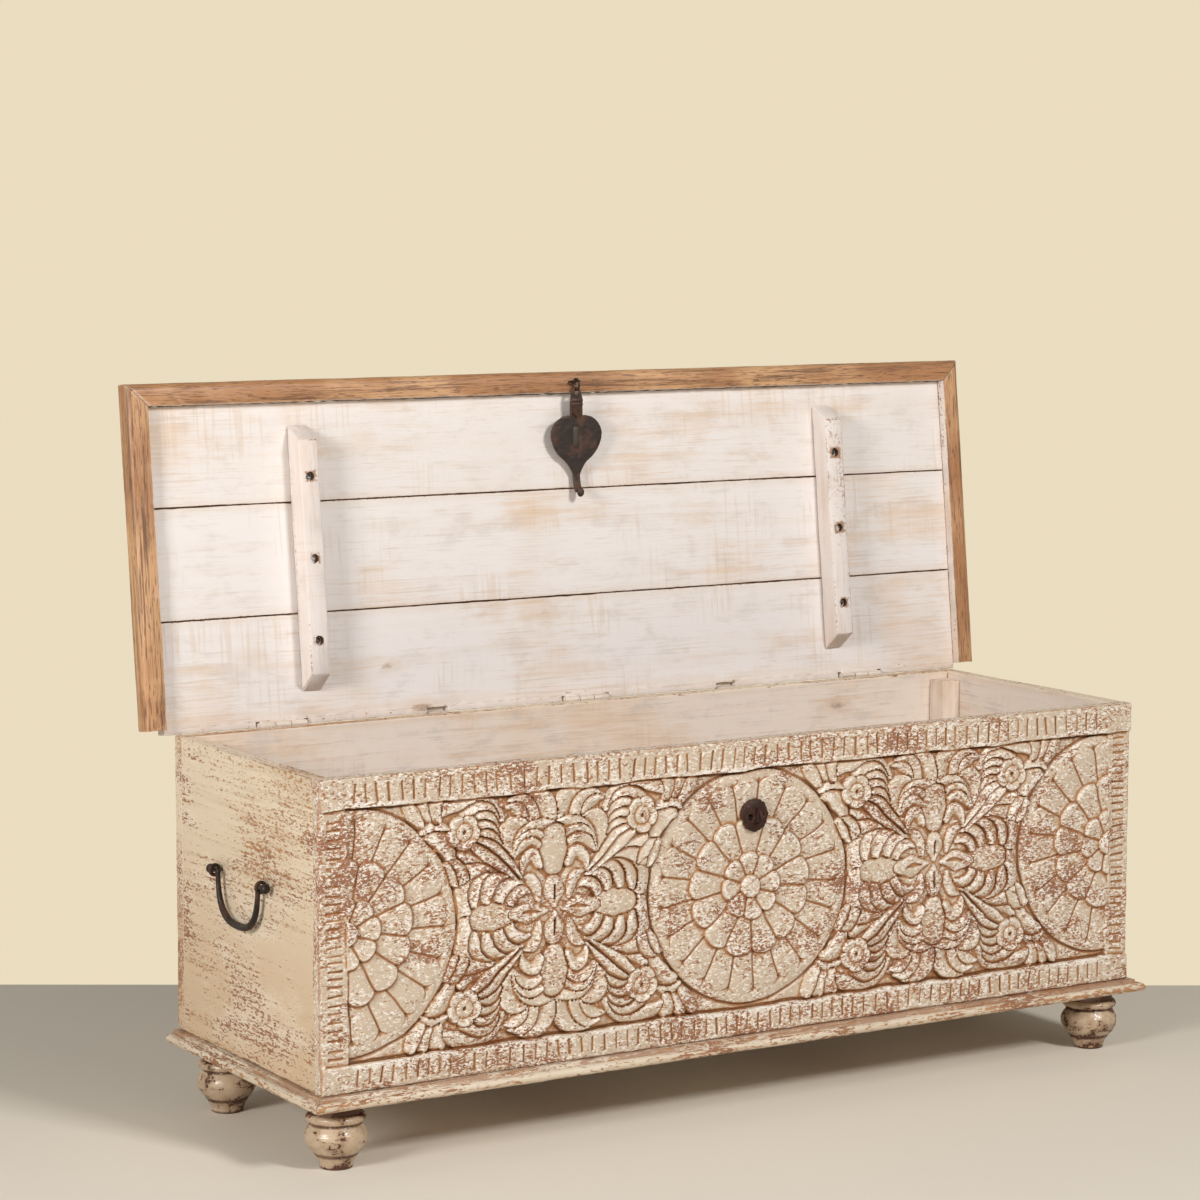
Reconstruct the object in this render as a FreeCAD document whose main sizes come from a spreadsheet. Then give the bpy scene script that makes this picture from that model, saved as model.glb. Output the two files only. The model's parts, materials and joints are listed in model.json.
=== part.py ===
import FreeCAD, Part
import math
import os
import Sketcher

# Storage chest with a carved front, a plank lid held open, a forged hasp and drop handles.
# Millimetres. X runs along the length, the front faces -Y, Z is up and the floor is at zero.

Vector = FreeCAD.Vector
doc = FreeCAD.newDocument("storage_chest")
sheet = doc.addObject("Spreadsheet::Sheet", "dims")


class Size:
    """A length, angle or count that carries its value and its expression on the sheet."""

    def __init__(self, text, value):
        self.text = text
        self.value = value

    @staticmethod
    def of(other):
        return other if isinstance(other, Size) else Size(repr(other), other)

    def join(self, sign, other, value):
        return Size(f"({self.text} {sign} {Size.of(other).text})", value)

    def __add__(self, other):
        return self.join("+", other, self.value + Size.of(other).value)

    def __sub__(self, other):
        return self.join("-", other, self.value - Size.of(other).value)

    def __mul__(self, other):
        return self.join("*", other, self.value * Size.of(other).value)

    def __truediv__(self, other):
        return self.join("/", other, self.value / Size.of(other).value)

    def __neg__(self):
        return Size(f"(-{self.text})", -self.value)

    def __radd__(self, other):
        return Size.of(other) + self

    def __rsub__(self, other):
        return Size.of(other) - self

    def __rmul__(self, other):
        return Size.of(other) * self


def cosine(angle):
    return Size(f"cos({angle.text})", math.cos(math.radians(angle.value)))


def sine(angle):
    return Size(f"sin({angle.text})", math.sin(math.radians(angle.value)))


# Body of the chest
body_length = 1125
body_depth = 374
body_height = 348
front_thickness = 18
board_thickness = 18
post_width = 28
post_drop = 9
bottom_thickness = 12
bearer_width = 70
bearer_spacing = 380

# Base moulding under the body
base_thickness = 15
base_overhang = 17
base_nose_height = 10.5
base_nose_radius = 5.6
base_step = 6
base_inner_width = 58

# Turned feet
foot_height = 74
foot_inset = 33.5
front_foot_inset = 34
back_foot_inset = 62
foot_toe_radius = 18.8
foot_toe_height = 2
foot_crease_radius = 24.8
foot_crease_height = 15.5
foot_ball_radius = 35.5
foot_ball_height = 35.5
foot_groove_radius = 28.2
foot_groove_height = 51
foot_collar_radius = 34
foot_collar_height = 11
foot_neck_radius = 29
foot_dowel_radius = 9

# Carved front: sunk field, notched border, whole and half rosettes and two foliate crosses
field_depth = 7
border_width = 32
border_notch_pitch = 15.5
border_notch_width = 2.2
border_notch_length = 19
border_notch_depth = 2
rosette_radius = 137
rosette_middle_radius = 80
rosette_inner_radius = 39
rosette_button_radius = 11
rosette_step = 1.6
rosette_base_rise = 2
petal_groove_width = 2.4
petal_groove_depth = 1.2
half_rosette_place = 530.5
cross_place = 265
cross_flower_across = 115
cross_flower_up = 100
cross_flower_radius = 14
cross_rise = 4
leaf_length = 52
leaf_width = 17

# Lid in its closed place, measured from the hinge axis: forward is -Y, up is +Z
lid_length = 1200
lid_inner_depth = 381
lid_plank_thickness = 18
lid_moulding_width = 27
lid_lip = 12
lid_edge_radius = 9
lid_lean = 6.4
lid_gap = 0.5
back_seam_place = 130
front_seam_place = 262.5
plank_seam = 1
batten_place = 379
batten_width = 26
batten_height = 30
batten_back_end = 36.5
batten_front_end = 354.5
batten_bevel = 31.5
batten_screw_first = 97
batten_screw_pitch = 97.3
counterbore_radius = 5
counterbore_depth = 7
wood_screw_radius = 2.2
wood_screw_head_radius = 4.2
wood_screw_bite = 13

# Butt hinges on the outside of the back
hinge_place = 420
hinge_width = 62
hinge_leaf_thickness = 2
hinge_knuckle_radius = 4.5
hinge_pin_radius = 2.2
hinge_pin_clearance = 0.05
hinge_knuckle_gap = 0.4
hinge_wall_leaf = 34
hinge_lid_leaf = 16.5
hinge_pin_head_radius = 3.6
hinge_pin_head_height = 1.6
hinge_screw_radius = 1.6
hinge_screw_head_radius = 3.2
hinge_screw_length = 13
hinge_screw_pitch = 21

# Iron brackets that hold the open lid just past upright
stop_place = 210
stop_width = 25
stop_thickness = 2.5
stop_leg = 32
stop_reach = 18.5
stop_pad = 4.5
stop_clearance = 0.1

# Hasp, its ring and its staple
hasp_wire_radius = 1.3
hasp_staple_stand = 9
hasp_staple_half = 5
ring_radius = 7.2
ring_play = 0.35
hasp_thickness = 2.5
hasp_hole_radius = 3.2
hasp_strap_half = 8.4
hasp_strap_thickness = 4.6
hasp_eye_half = 6.2
hasp_shoulder = 38
hasp_heart_half = 37
hasp_heart_widest = 62
hasp_stem_half = 5.2
hasp_stem_start = 112
hasp_tail_length = 26
hasp_tail_curl = 12
hasp_slot_half = 4
hasp_slot_length = 27
hasp_slot_place = 66
hasp_lean = 2.6

# Boss plate and padlock staple on the front
boss_radius = 19
boss_point = 21
boss_rise = 3.6
boss_rim = 1.4
lock_wire_radius = 1.7
lock_staple_half = 8.5
lock_staple_stand = 15.2

# Drop handles on the ends
handle_height = 300
handle_stand = 9.5
handle_half = 51
handle_drop = 54
handle_end_radius = 2.7
handle_middle_radius = 4.3
handle_bow_power = 0.75
handle_knob_place = 70
handle_knob_radius = 5.6
handle_journal_radius = 2.7
eye_place = 59.5
eye_wire_radius = 2.2
eye_ring_radius = 5.7
eye_rivet_radius = 5
eye_rivet_height = 2

overrun = 5
origin_y = 0

# Every number above becomes a driving dimension: a row of the sheet that the model is bound to.
driving = {name: value for name, value in globals().items() if isinstance(value, (int, float))}
for row, (name, value) in enumerate(driving.items(), 1):
    sheet.set(f"A{row}", name)
    sheet.set(f"B{row}", str(value))
    sheet.setAlias(f"B{row}", name)
    globals()[name] = Size(f"dims.{name}", value)
ZERO = Size("0", 0)

# Chosen fractions of the sizes above, and how many petals, leaves and sections there are
boss_side_share = 0.94
boss_shoulder_share = 0.33
boss_top_share = 1.6
petal_counts = (22, 13, 8)
leaf_place_shares = (0.3, 0.62, 0.45, 0.45, 0.8, 0.8)
leaf_leans = (0, 0, 62, -62, 70, -70)
leaf_rise_share = 0.8
nose_cut_share = 0.8
collar_round_share = 0.25
hinge_leaf_drop_share = 0.5
hinge_stagger_share = 0.2
heart_waist_share = 0.58
heart_shoulder_share = 0.7
heart_side_share = 1.15
strap_overlap_share = 0.8
bail_stations = 13

half_length = body_length / 2
front_y = -(body_depth / 2)
back_y = body_depth / 2
base_z = foot_height
body_z = foot_height + base_thickness
rim_z = body_z + body_height
hinge_offset = hinge_knuckle_radius + hinge_knuckle_gap
axis_y = back_y + hinge_offset
axis_z = rim_z + lid_gap
inside_x = half_length - board_thickness
inside_front_y = front_y + front_thickness
inside_back_y = back_y - board_thickness
floor_top_z = body_z + bottom_thickness

TURNS = {
    "+X": FreeCAD.Rotation(Vector(0, 1, 0), 90),
    "-X": FreeCAD.Rotation(Vector(0, 1, 0), -90),
    "+Y": FreeCAD.Rotation(Vector(1, 0, 0), -90),
    "-Y": FreeCAD.Rotation(Vector(1, 0, 0), 90),
    "+Z": FreeCAD.Rotation(),
    "-Z": FreeCAD.Rotation(Vector(1, 0, 0), 180),
    "+Y turned": FreeCAD.Rotation(Vector(1, 0, 0), -90) * FreeCAD.Rotation(Vector(0, 0, 1), 180),
}


def bind(item, **sizes):
    """Bind properties of an object to sizes on the sheet."""
    for name, size in sizes.items():
        item.setExpression(name, Size.of(size).text)
    return item


def place(item, at, turn="+Z"):
    """Turn an object's Z axis to a direction and bind its place."""
    item.Placement = FreeCAD.Placement(Vector(*(Size.of(v).value for v in at)), TURNS[turn])
    for axis, value in zip("xyz", at):
        item.setExpression(f"Placement.Base.{axis}", Size.of(value).text)
    return item


def box(name, x, y, z):
    """A board between two values on each axis."""
    item = doc.addObject("Part::Box", name)
    bind(item, Length=x[1] - x[0], Width=y[1] - y[0], Height=z[1] - z[0])
    return place(item, (x[0], y[0], z[0]))


def rod(name, radius, height, at, turn="+Z"):
    item = doc.addObject("Part::Cylinder", name)
    return place(bind(item, Radius=radius, Height=height), at, turn)


def cone(name, radius, top_radius, height, at, turn="+Z"):
    item = doc.addObject("Part::Cone", name)
    return place(bind(item, Radius1=radius, Radius2=top_radius, Height=height), at, turn)


def ball(name, radius, at):
    return place(bind(doc.addObject("Part::Sphere", name), Radius=radius), at)


def ring(name, radius, wire, at, turn="+Z"):
    item = doc.addObject("Part::Torus", name)
    return place(bind(item, Radius1=radius, Radius2=wire), at, turn)


def joined(name, pieces):
    item = doc.addObject("Part::MultiFuse", name)
    item.Shapes = pieces
    return item


def group(name, pieces):
    item = doc.addObject("Part::Compound", name)
    item.Links = pieces
    return item


def less(name, base, tools):
    """A piece with the tools cut out of it."""
    item = doc.addObject("Part::Cut", name)
    item.Base = base
    item.Tool = group(name + "_cuts", tools) if len(tools) > 1 else tools[0]
    return item


def shared(name, first, second):
    item = doc.addObject("Part::Common", name)
    item.Base = first
    item.Tool = second
    return item


def sketch_on(body, plane, name):
    """A sketch on one of the body's own origin planes."""
    sketch = body.newObject("Sketcher::SketchObject", name)
    support = [part for part in body.Origin.OriginFeatures if part.Role == plane][0]
    sketch.AttachmentSupport = [(support, "")]
    sketch.MapMode = "FlatFace"
    return sketch


def arc_between(start, end, radius, turn):
    """The arc of under half a circle from start to end, bulging right for +1 and left for -1."""
    chord = end - start
    middle = (start + end) * 0.5
    height = math.sqrt(max(radius * radius - chord.Length * chord.Length / 4, 0))
    normal = Vector(-chord.y, chord.x, 0).normalize()
    centre = middle + normal * (height * turn)
    angles = [math.atan2(p.y - centre.y, p.x - centre.x) for p in (start, end)]
    if turn < 0:
        angles.reverse()
    circle = Part.Circle(centre, Vector(0, 0, 1), radius)
    return Part.ArcOfCircle(circle, angles[0], angles[1])


def outline(sketch, points, arcs=None):
    """A closed outline through points; arcs maps a point's number to (radius, turn)."""
    arcs = arcs or {}
    spots = [Vector(Size.of(x).value, Size.of(y).value, 0) for x, y in points]
    ends = []
    for number, start in enumerate(spots):
        end = spots[(number + 1) % len(spots)]
        if number in arcs:
            radius, turn = arcs[number]
            sketch.addGeometry(arc_between(start, end, radius.value, turn))
            ends.append((1, 2) if turn > 0 else (2, 1))
        else:
            sketch.addGeometry(Part.LineSegment(start, end))
            ends.append((1, 2))
    for number, (x, y) in enumerate(points):
        following = (number + 1) % len(points)
        sketch.addConstraint(
            Sketcher.Constraint("Coincident", number, ends[number][1], following, ends[following][0])
        )
        for kind, value in (("DistanceX", x), ("DistanceY", y)):
            size = Size.of(value)
            mark = Sketcher.Constraint(kind, -1, 1, number, ends[number][0], size.value)
            index = sketch.addConstraint(mark)
            if not isinstance(value, Size) or size.value != 0:
                sketch.setExpression(f"Constraints[{index}]", size.text)
    for number, (radius, _) in arcs.items():
        index = sketch.addConstraint(Sketcher.Constraint("Radius", number, radius.value))
        sketch.setExpression(f"Constraints[{index}]", radius.text)


def pad(body, name, plane, points, length, arcs=None, offset=None, symmetric=True):
    """Pad an outline square to its plane."""
    sketch = sketch_on(body, plane, name + "_sketch")
    outline(sketch, points, arcs)
    if offset is not None:
        sketch.setExpression("AttachmentOffset.Base.z", offset.text)
    feature = body.newObject("PartDesign::Pad", name)
    feature.Profile = sketch
    feature.setExpression("Length", length.text)
    if symmetric:
        feature.SideType = "Symmetric"
    return feature


def pocket(body, name, plane, points, arcs=None):
    """Cut an outline through the whole body, both ways."""
    sketch = sketch_on(body, plane, name + "_sketch")
    outline(sketch, points, arcs)
    feature = body.newObject("PartDesign::Pocket", name)
    feature.Profile = sketch
    feature.Type = "ThroughAll"
    feature.SideType = "Symmetric"
    return feature


def new_body(name):
    return doc.addObject("PartDesign::Body", name)


PUBLISHED = []
lid_turn = FreeCAD.Rotation(Vector(-1, 0, 0), 90 + lid_lean.value)


def publish(label, piece, frame="body"):
    """Give a piece its node name and put it in the body's, the lid's or the hasp's place."""
    node = group(label + "_node", [piece])
    node.Label = label
    home = {"body": (ZERO, origin_y, ZERO), "lid": (ZERO, origin_y + axis_y, axis_z),
            "link": (ZERO, origin_y + crown_y, crown_z)}[frame]
    place(node, home)
    if frame == "lid":
        node.Placement = FreeCAD.Placement(node.Placement.Base, lid_turn)
        node.setExpression("Placement.Rotation.Angle", (90 + lid_lean).text)
    PUBLISHED.append(node)
    return node


# Where the hasp's ring hangs: the crown of its staple, in the lid's frame and then at rest
crown_forward = lid_inner_depth + lid_moulding_width / 2
crown_below = lid_lip + hasp_staple_stand
crown_y = axis_y + crown_forward * sine(lid_lean) - crown_below * cosine(lid_lean)
crown_z = axis_z + crown_forward * cosine(lid_lean) + crown_below * sine(lid_lean)
ring_drop = ring_radius - hasp_wire_radius * 2 - ring_play

# Where the padlock staple stands: behind the slot while the lid is shut and the hasp hangs
slot_drop = (ring_drop + hasp_slot_place) * cosine(hasp_lean)
lock_z = axis_z - crown_below - slot_drop

# Padlock staple, domed boss and the holes they need
def make_lock():
    reach = lock_staple_stand - lock_wire_radius - lock_staple_half
    legs = []
    for mark, side in (("upper", 1), ("lower", -1)):
        level = lock_z + lock_staple_half * side
        length = front_thickness + reach
        legs.append(rod(f"lock_leg_{mark}", lock_wire_radius, length, (ZERO, inside_front_y, level), "-Y"))
    bow = ring("lock_bow", lock_staple_half, lock_wire_radius, (ZERO, front_y - reach, lock_z), "+X")
    outer = lock_staple_half + lock_wire_radius
    keep = box("lock_bow_half", (-outer, outer), (front_y - reach - outer, front_y - reach),
               (lock_z - outer, lock_z + outer))
    staple = joined("lock_staple_shape", legs + [shared("lock_bow_front", bow, keep)])

    plate = new_body("boss_plate")
    side = boss_radius * boss_side_share
    shoulder = boss_radius * boss_shoulder_share
    points = [(-side, lock_z + shoulder), (-side, lock_z - shoulder),
              (side, lock_z - shoulder), (side, lock_z + shoulder),
              (ZERO, lock_z + boss_point)]
    top_round = boss_radius * boss_top_share
    arcs = {0: (boss_radius, 1), 1: (boss_radius, 1), 2: (boss_radius, 1),
            3: (top_round, 1), 4: (top_round, 1)}
    pad(plate, "boss_outline", "XZ_Plane", points, boss_rise, arcs, offset=-front_y, symmetric=False)
    cap = (boss_point * boss_point + (boss_rise - boss_rim) * (boss_rise - boss_rim))
    cap_radius = cap / (2 * (boss_rise - boss_rim))
    dome = ball("boss_dome", cap_radius, (ZERO, front_y - boss_rise + cap_radius, lock_z))
    boss = less("lock_boss_shape", shared("boss_domed", plate, dome), [staple])
    return staple, boss


# Carved front board
def notch_row(name, centre_z):
    """Short upright notches along one border band."""
    count = int((body_length - border_width * 2).value / border_notch_pitch.value)
    notches = []
    for number in range(count + 1):
        x = (number - count / 2) * border_notch_pitch
        notches.append(box(f"{name}_{number}",
                           (x - border_notch_width / 2, x + border_notch_width / 2),
                           (front_y - overrun, front_y + border_notch_depth),
                           (centre_z - border_notch_length / 2, centre_z + border_notch_length / 2)))
    return notches


def notch_column(name, centre_x):
    """Short level notches up one side band."""
    count = int((body_height - border_width * 2).value / border_notch_pitch.value)
    middle_z = body_z + body_height / 2
    notches = []
    for number in range(count + 1):
        z = middle_z + (number - count / 2) * border_notch_pitch
        notches.append(box(f"{name}_{number}",
                           (centre_x - border_notch_length / 2, centre_x + border_notch_length / 2),
                           (front_y - overrun, front_y + border_notch_depth),
                           (z - border_notch_width / 2, z + border_notch_width / 2)))
    return notches


def petal_grooves(name, x, z, inner, outer, count, face_y):
    """Narrow grooves from one ring of a rosette to the next."""
    grooves = []
    for number in range(count):
        angle = 360 * number / count
        bar = doc.addObject("Part::Box", f"{name}_{number}")
        bind(bar, Length=outer - inner, Width=petal_groove_depth + overrun, Height=petal_groove_width)
        turn = FreeCAD.Rotation(Vector(0, -1, 0), angle)
        bar.Placement = FreeCAD.Placement(Vector(0, 0, 0), turn)
        lean = Size(repr(angle), angle)
        half = petal_groove_width / 2
        start = (x + inner * cosine(lean) + half * sine(lean), face_y - overrun,
                 z + inner * sine(lean) - half * cosine(lean))
        for axis, value in zip("xyz", start):
            bar.setExpression(f"Placement.Base.{axis}", value.text)
        grooves.append(bar)
    return grooves


def rosette(name, x, z, floor_y):
    """Three stepped rings of petals with a button in the middle."""
    radii = [rosette_radius, rosette_middle_radius, rosette_inner_radius, rosette_button_radius]
    discs = []
    grooves = []
    for level, (radius, count) in enumerate(zip(radii, petal_counts)):
        rise = rosette_base_rise + rosette_step * level
        discs.append(rod(f"{name}_ring_{level}", radius, rise, (x, floor_y, z), "-Y"))
        grooves += petal_grooves(f"{name}_groove_{level}", x, z, radii[level + 1], radius, count,
                                 floor_y - rise)
    top = rosette_base_rise + rosette_step * len(petal_counts)
    button = rod(f"{name}_button", rosette_button_radius, top, (x, floor_y, z), "-Y")
    petals = less(f"{name}_petals", joined(f"{name}_discs", discs), grooves)
    return joined(f"{name}_solid", [petals, button])


def leaf(name, x, z, angle, floor_y, rise):
    """One pointed leaf lying along a direction in the carved field."""
    body = new_body(name)
    half = leaf_length / 2
    bulge = (half * half + leaf_width * leaf_width / 4) / leaf_width
    pad(body, name + "_pad", "XZ_Plane", [(-half, ZERO), (half, ZERO)], rise,
        {0: (bulge, 1), 1: (bulge, 1)}, symmetric=False)
    body.Placement = FreeCAD.Placement(Vector(0, 0, 0), FreeCAD.Rotation(Vector(0, -1, 0), angle))
    for axis, value in zip("xyz", (x, floor_y, z)):
        body.setExpression(f"Placement.Base.{axis}", value.text)
    return body


def foliate_cross(name, x, z, floor_y):
    """Four stems with button flowers at their ends, an eye in the middle and paired leaves."""
    pieces = []
    for number, (across, up) in enumerate(((1, 1), (-1, 1), (-1, -1), (1, -1))):
        tip_x = x + cross_flower_across * across
        tip_z = z + cross_flower_up * up
        tip = (tip_x, floor_y, tip_z)
        pieces.append(rod(f"{name}_flower_{number}", cross_flower_radius, cross_rise, tip, "-Y"))
        angle = math.degrees(math.atan2(cross_flower_up.value * up, cross_flower_across.value * across))
        for share, lean in zip(leaf_place_shares, leaf_leans):
            leaf_x = x + cross_flower_across * (across * share)
            leaf_z = z + cross_flower_up * (up * share)
            pieces.append(leaf(f"{name}_leaf_{number}_{len(pieces)}", leaf_x, leaf_z,
                               angle + lean * across * up, floor_y, cross_rise * leaf_rise_share))
    return joined(f"{name}_solid", pieces)


def make_front(lock_staple):
    """The front board overlaps the end panels and carries all the carving."""
    board = box("front_board", (-half_length, half_length), (front_y, inside_front_y), (body_z, rim_z))
    floor_y = front_y + field_depth
    field_x = half_length - border_width
    field_z = (body_z + border_width, rim_z - border_width)
    field = box("carved_field", (-field_x, field_x), (front_y - overrun, floor_y), field_z)
    sunk = less("front_board_sunk", board, [field])
    middle_z = body_z + body_height / 2
    carved = [rosette("rosette_middle", ZERO, middle_z, floor_y)]
    for side, mark in ((-1, "left"), (1, "right")):
        whole = rosette(f"rosette_{mark}", half_rosette_place * side, middle_z, floor_y)
        window = box(f"field_window_{mark}", (-field_x, field_x), (front_y, floor_y), field_z)
        carved.append(shared(f"rosette_{mark}_half", whole, window))
        carved.append(foliate_cross(f"cross_{mark}", cross_place * side, middle_z, floor_y))
    relief = joined("front_relief", [sunk] + carved)
    notches = notch_row("top_notch", rim_z - border_width / 2)
    notches += notch_row("bottom_notch", body_z + border_width / 2)
    notches += notch_column("left_notch", -(half_length - border_width / 2))
    notches += notch_column("right_notch", half_length - border_width / 2)
    return less("front_panel_shape", relief, notches + [lock_staple])


# Boards, posts and bottom of the body
def make_end_panel(mark, side, tools):
    x = sorted((half_length * side, inside_x * side), key=lambda size: size.value)
    board = box(f"{mark}_end_board", x, (inside_front_y, inside_back_y), (body_z, rim_z))
    return less(f"{mark}_end_shape", board, tools)


def make_posts():
    """Square posts in the four inner corners, a little below the rim."""
    posts = {}
    for side, x_mark in ((-1, "left"), (1, "right")):
        x = sorted((inside_x * side, (inside_x - post_width) * side), key=lambda size: size.value)
        for y_mark, y in (("front", (inside_front_y, inside_front_y + post_width)),
                          ("back", (inside_back_y - post_width, inside_back_y))):
            name = f"{y_mark}_{x_mark}_post"
            posts[name] = box(name + "_shape", x, y, (floor_top_z, rim_z - post_drop))
    return posts


def make_bottom():
    """Three planks along the chest on the base frame and two bearers under them."""
    pieces = {}
    third = (inside_back_y - inside_front_y) / 3
    for number, name in enumerate(("front", "middle", "back")):
        start = inside_front_y + third * number
        end = start + third
        if number < 2:
            end = end - plank_seam
        pieces[f"bottom_plank_{name}"] = box(f"bottom_{name}_board", (-inside_x, inside_x), (start, end),
                                             (body_z, floor_top_z))
    for side, mark in ((-1, "left"), (1, "right")):
        centre = bearer_spacing / 2 * side
        pieces[f"bottom_bearer_{mark}"] = box(
            f"bearer_{mark}_board", (centre - bearer_width / 2, centre + bearer_width / 2),
            (front_y + base_inner_width, back_y - base_inner_width), (base_z, body_z))
    return pieces


# Base moulding: a rounded nose with a small step above it, mitred at the front corners
base_outer_x = half_length + base_overhang
base_outer_y = front_y - base_overhang
base_width = base_overhang + base_inner_width


def nose_profile(outer, inward, bottom_z):
    """The section of the base moulding; inward is +1 or -1 along the section's own X."""
    shift = base_nose_radius * nose_cut_share
    turn = 1 if inward < 0 else -1
    points = [(outer + base_width * inward, bottom_z), (outer + shift * inward, bottom_z),
              (outer + shift * inward, bottom_z + base_nose_height),
              (outer + (base_step + shift) * inward, bottom_z + base_nose_height),
              (outer + (base_step + shift) * inward, bottom_z + base_thickness),
              (outer + base_width * inward, bottom_z + base_thickness)]
    return points, {1: (base_nose_radius, turn)}


def make_base():
    pieces = {}
    front = new_body("base_front")
    points, arcs = nose_profile(base_outer_y, 1, base_z)
    pad(front, "base_front_pad", "YZ_Plane", points, base_outer_x * 2, arcs)
    far = base_width + overrun
    for side, mark in ((-1, "left"), (1, "right")):
        corner_x = base_outer_x * side
        out_x = overrun * side
        pocket(front, f"base_front_mitre_{mark}", "XY_Plane",
               [(corner_x + out_x, base_outer_y - overrun), (corner_x + out_x, base_outer_y + far),
                (corner_x - far * side, base_outer_y + far)])
        rail = new_body(f"base_{mark}")
        points, arcs = nose_profile(corner_x, -side, base_z)
        pad(rail, f"base_{mark}_pad", "XZ_Plane", points, back_y - base_outer_y, arcs,
            offset=-((back_y + base_outer_y) / 2))
        pocket(rail, f"base_{mark}_mitre", "XY_Plane",
               [(corner_x + out_x, base_outer_y - overrun), (corner_x - far * side, base_outer_y + far),
                (corner_x - far * side, base_outer_y - overrun)])
        pieces[f"base_{mark}_moulding"] = rail
    pieces["base_front_moulding"] = front
    end_x = base_outer_x - base_width
    pieces["base_back_rail"] = box("base_back_board", (-end_x, end_x), (back_y - base_inner_width, back_y),
                                   (base_z, body_z))
    return pieces


# Turned feet with a dowel up into the base
def ball_radius(rise, inset):
    """The radius of an arc that leaves the ball's widest line upright and ends inset from it."""
    return (rise * rise + inset * inset) / (inset * 2)


def make_foot(name, x, y):
    foot = new_body(name + "_turning")
    collar_top = foot_groove_height + foot_collar_height
    collar_round = foot_collar_height * collar_round_share
    points = [(ZERO, ZERO), (foot_toe_radius, ZERO), (foot_toe_radius, foot_toe_height),
              (foot_crease_radius, foot_crease_height), (foot_ball_radius, foot_ball_height),
              (foot_groove_radius, foot_groove_height),
              (foot_collar_radius, collar_top - collar_round), (foot_collar_radius, collar_top),
              (foot_neck_radius, collar_top + collar_round), (foot_neck_radius, foot_height),
              (foot_dowel_radius, foot_height), (foot_dowel_radius, body_z), (ZERO, body_z)]
    lower = ball_radius(foot_ball_height - foot_crease_height, foot_ball_radius - foot_crease_radius)
    upper = ball_radius(foot_groove_height - foot_ball_height, foot_ball_radius - foot_groove_radius)
    arcs = {2: (foot_crease_height * 2, -1), 3: (lower, 1), 4: (upper, 1), 5: (foot_collar_height, -1)}
    sketch = sketch_on(foot, "XZ_Plane", name + "_sketch")
    outline(sketch, points, arcs)
    feature = foot.newObject("PartDesign::Revolution", name + "_turned")
    feature.Profile = sketch
    feature.ReferenceAxis = (sketch, ["V_Axis"])
    feature.Angle = 360
    for axis, value in (("x", x), ("y", y)):
        foot.setExpression(f"Placement.Base.{axis}", value.text)
    return foot


def make_feet():
    feet = {}
    for side, x_mark in ((-1, "left"), (1, "right")):
        x = (half_length - foot_inset) * side
        feet[f"front_{x_mark}_foot"] = make_foot(f"front_{x_mark}", x, front_y + front_foot_inset)
        feet[f"back_{x_mark}_foot"] = make_foot(f"back_{x_mark}", x, back_y - back_foot_inset)
    return feet


def foot_socket(name, side, y):
    """The hole through the base for one foot's dowel."""
    x = (half_length - foot_inset) * side
    return rod(name, foot_dowel_radius, base_thickness + overrun * 2, (x, y, base_z - overrun))


# Outside butt hinges, in the closed lid's frame for the lid leaf
def hinge_centres():
    return [("left", -hinge_place), ("middle", ZERO), ("right", hinge_place)]


def screw(name, at, turn, radius, head_radius, length):
    """A flat-headed screw that points along its turn from the middle of its head."""
    head_height = head_radius - radius
    shank = rod(name + "_shank", radius, length, at, turn)
    head = cone(name + "_head", head_radius, radius, head_height, at, turn)
    return joined(name, [shank, head])


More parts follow.
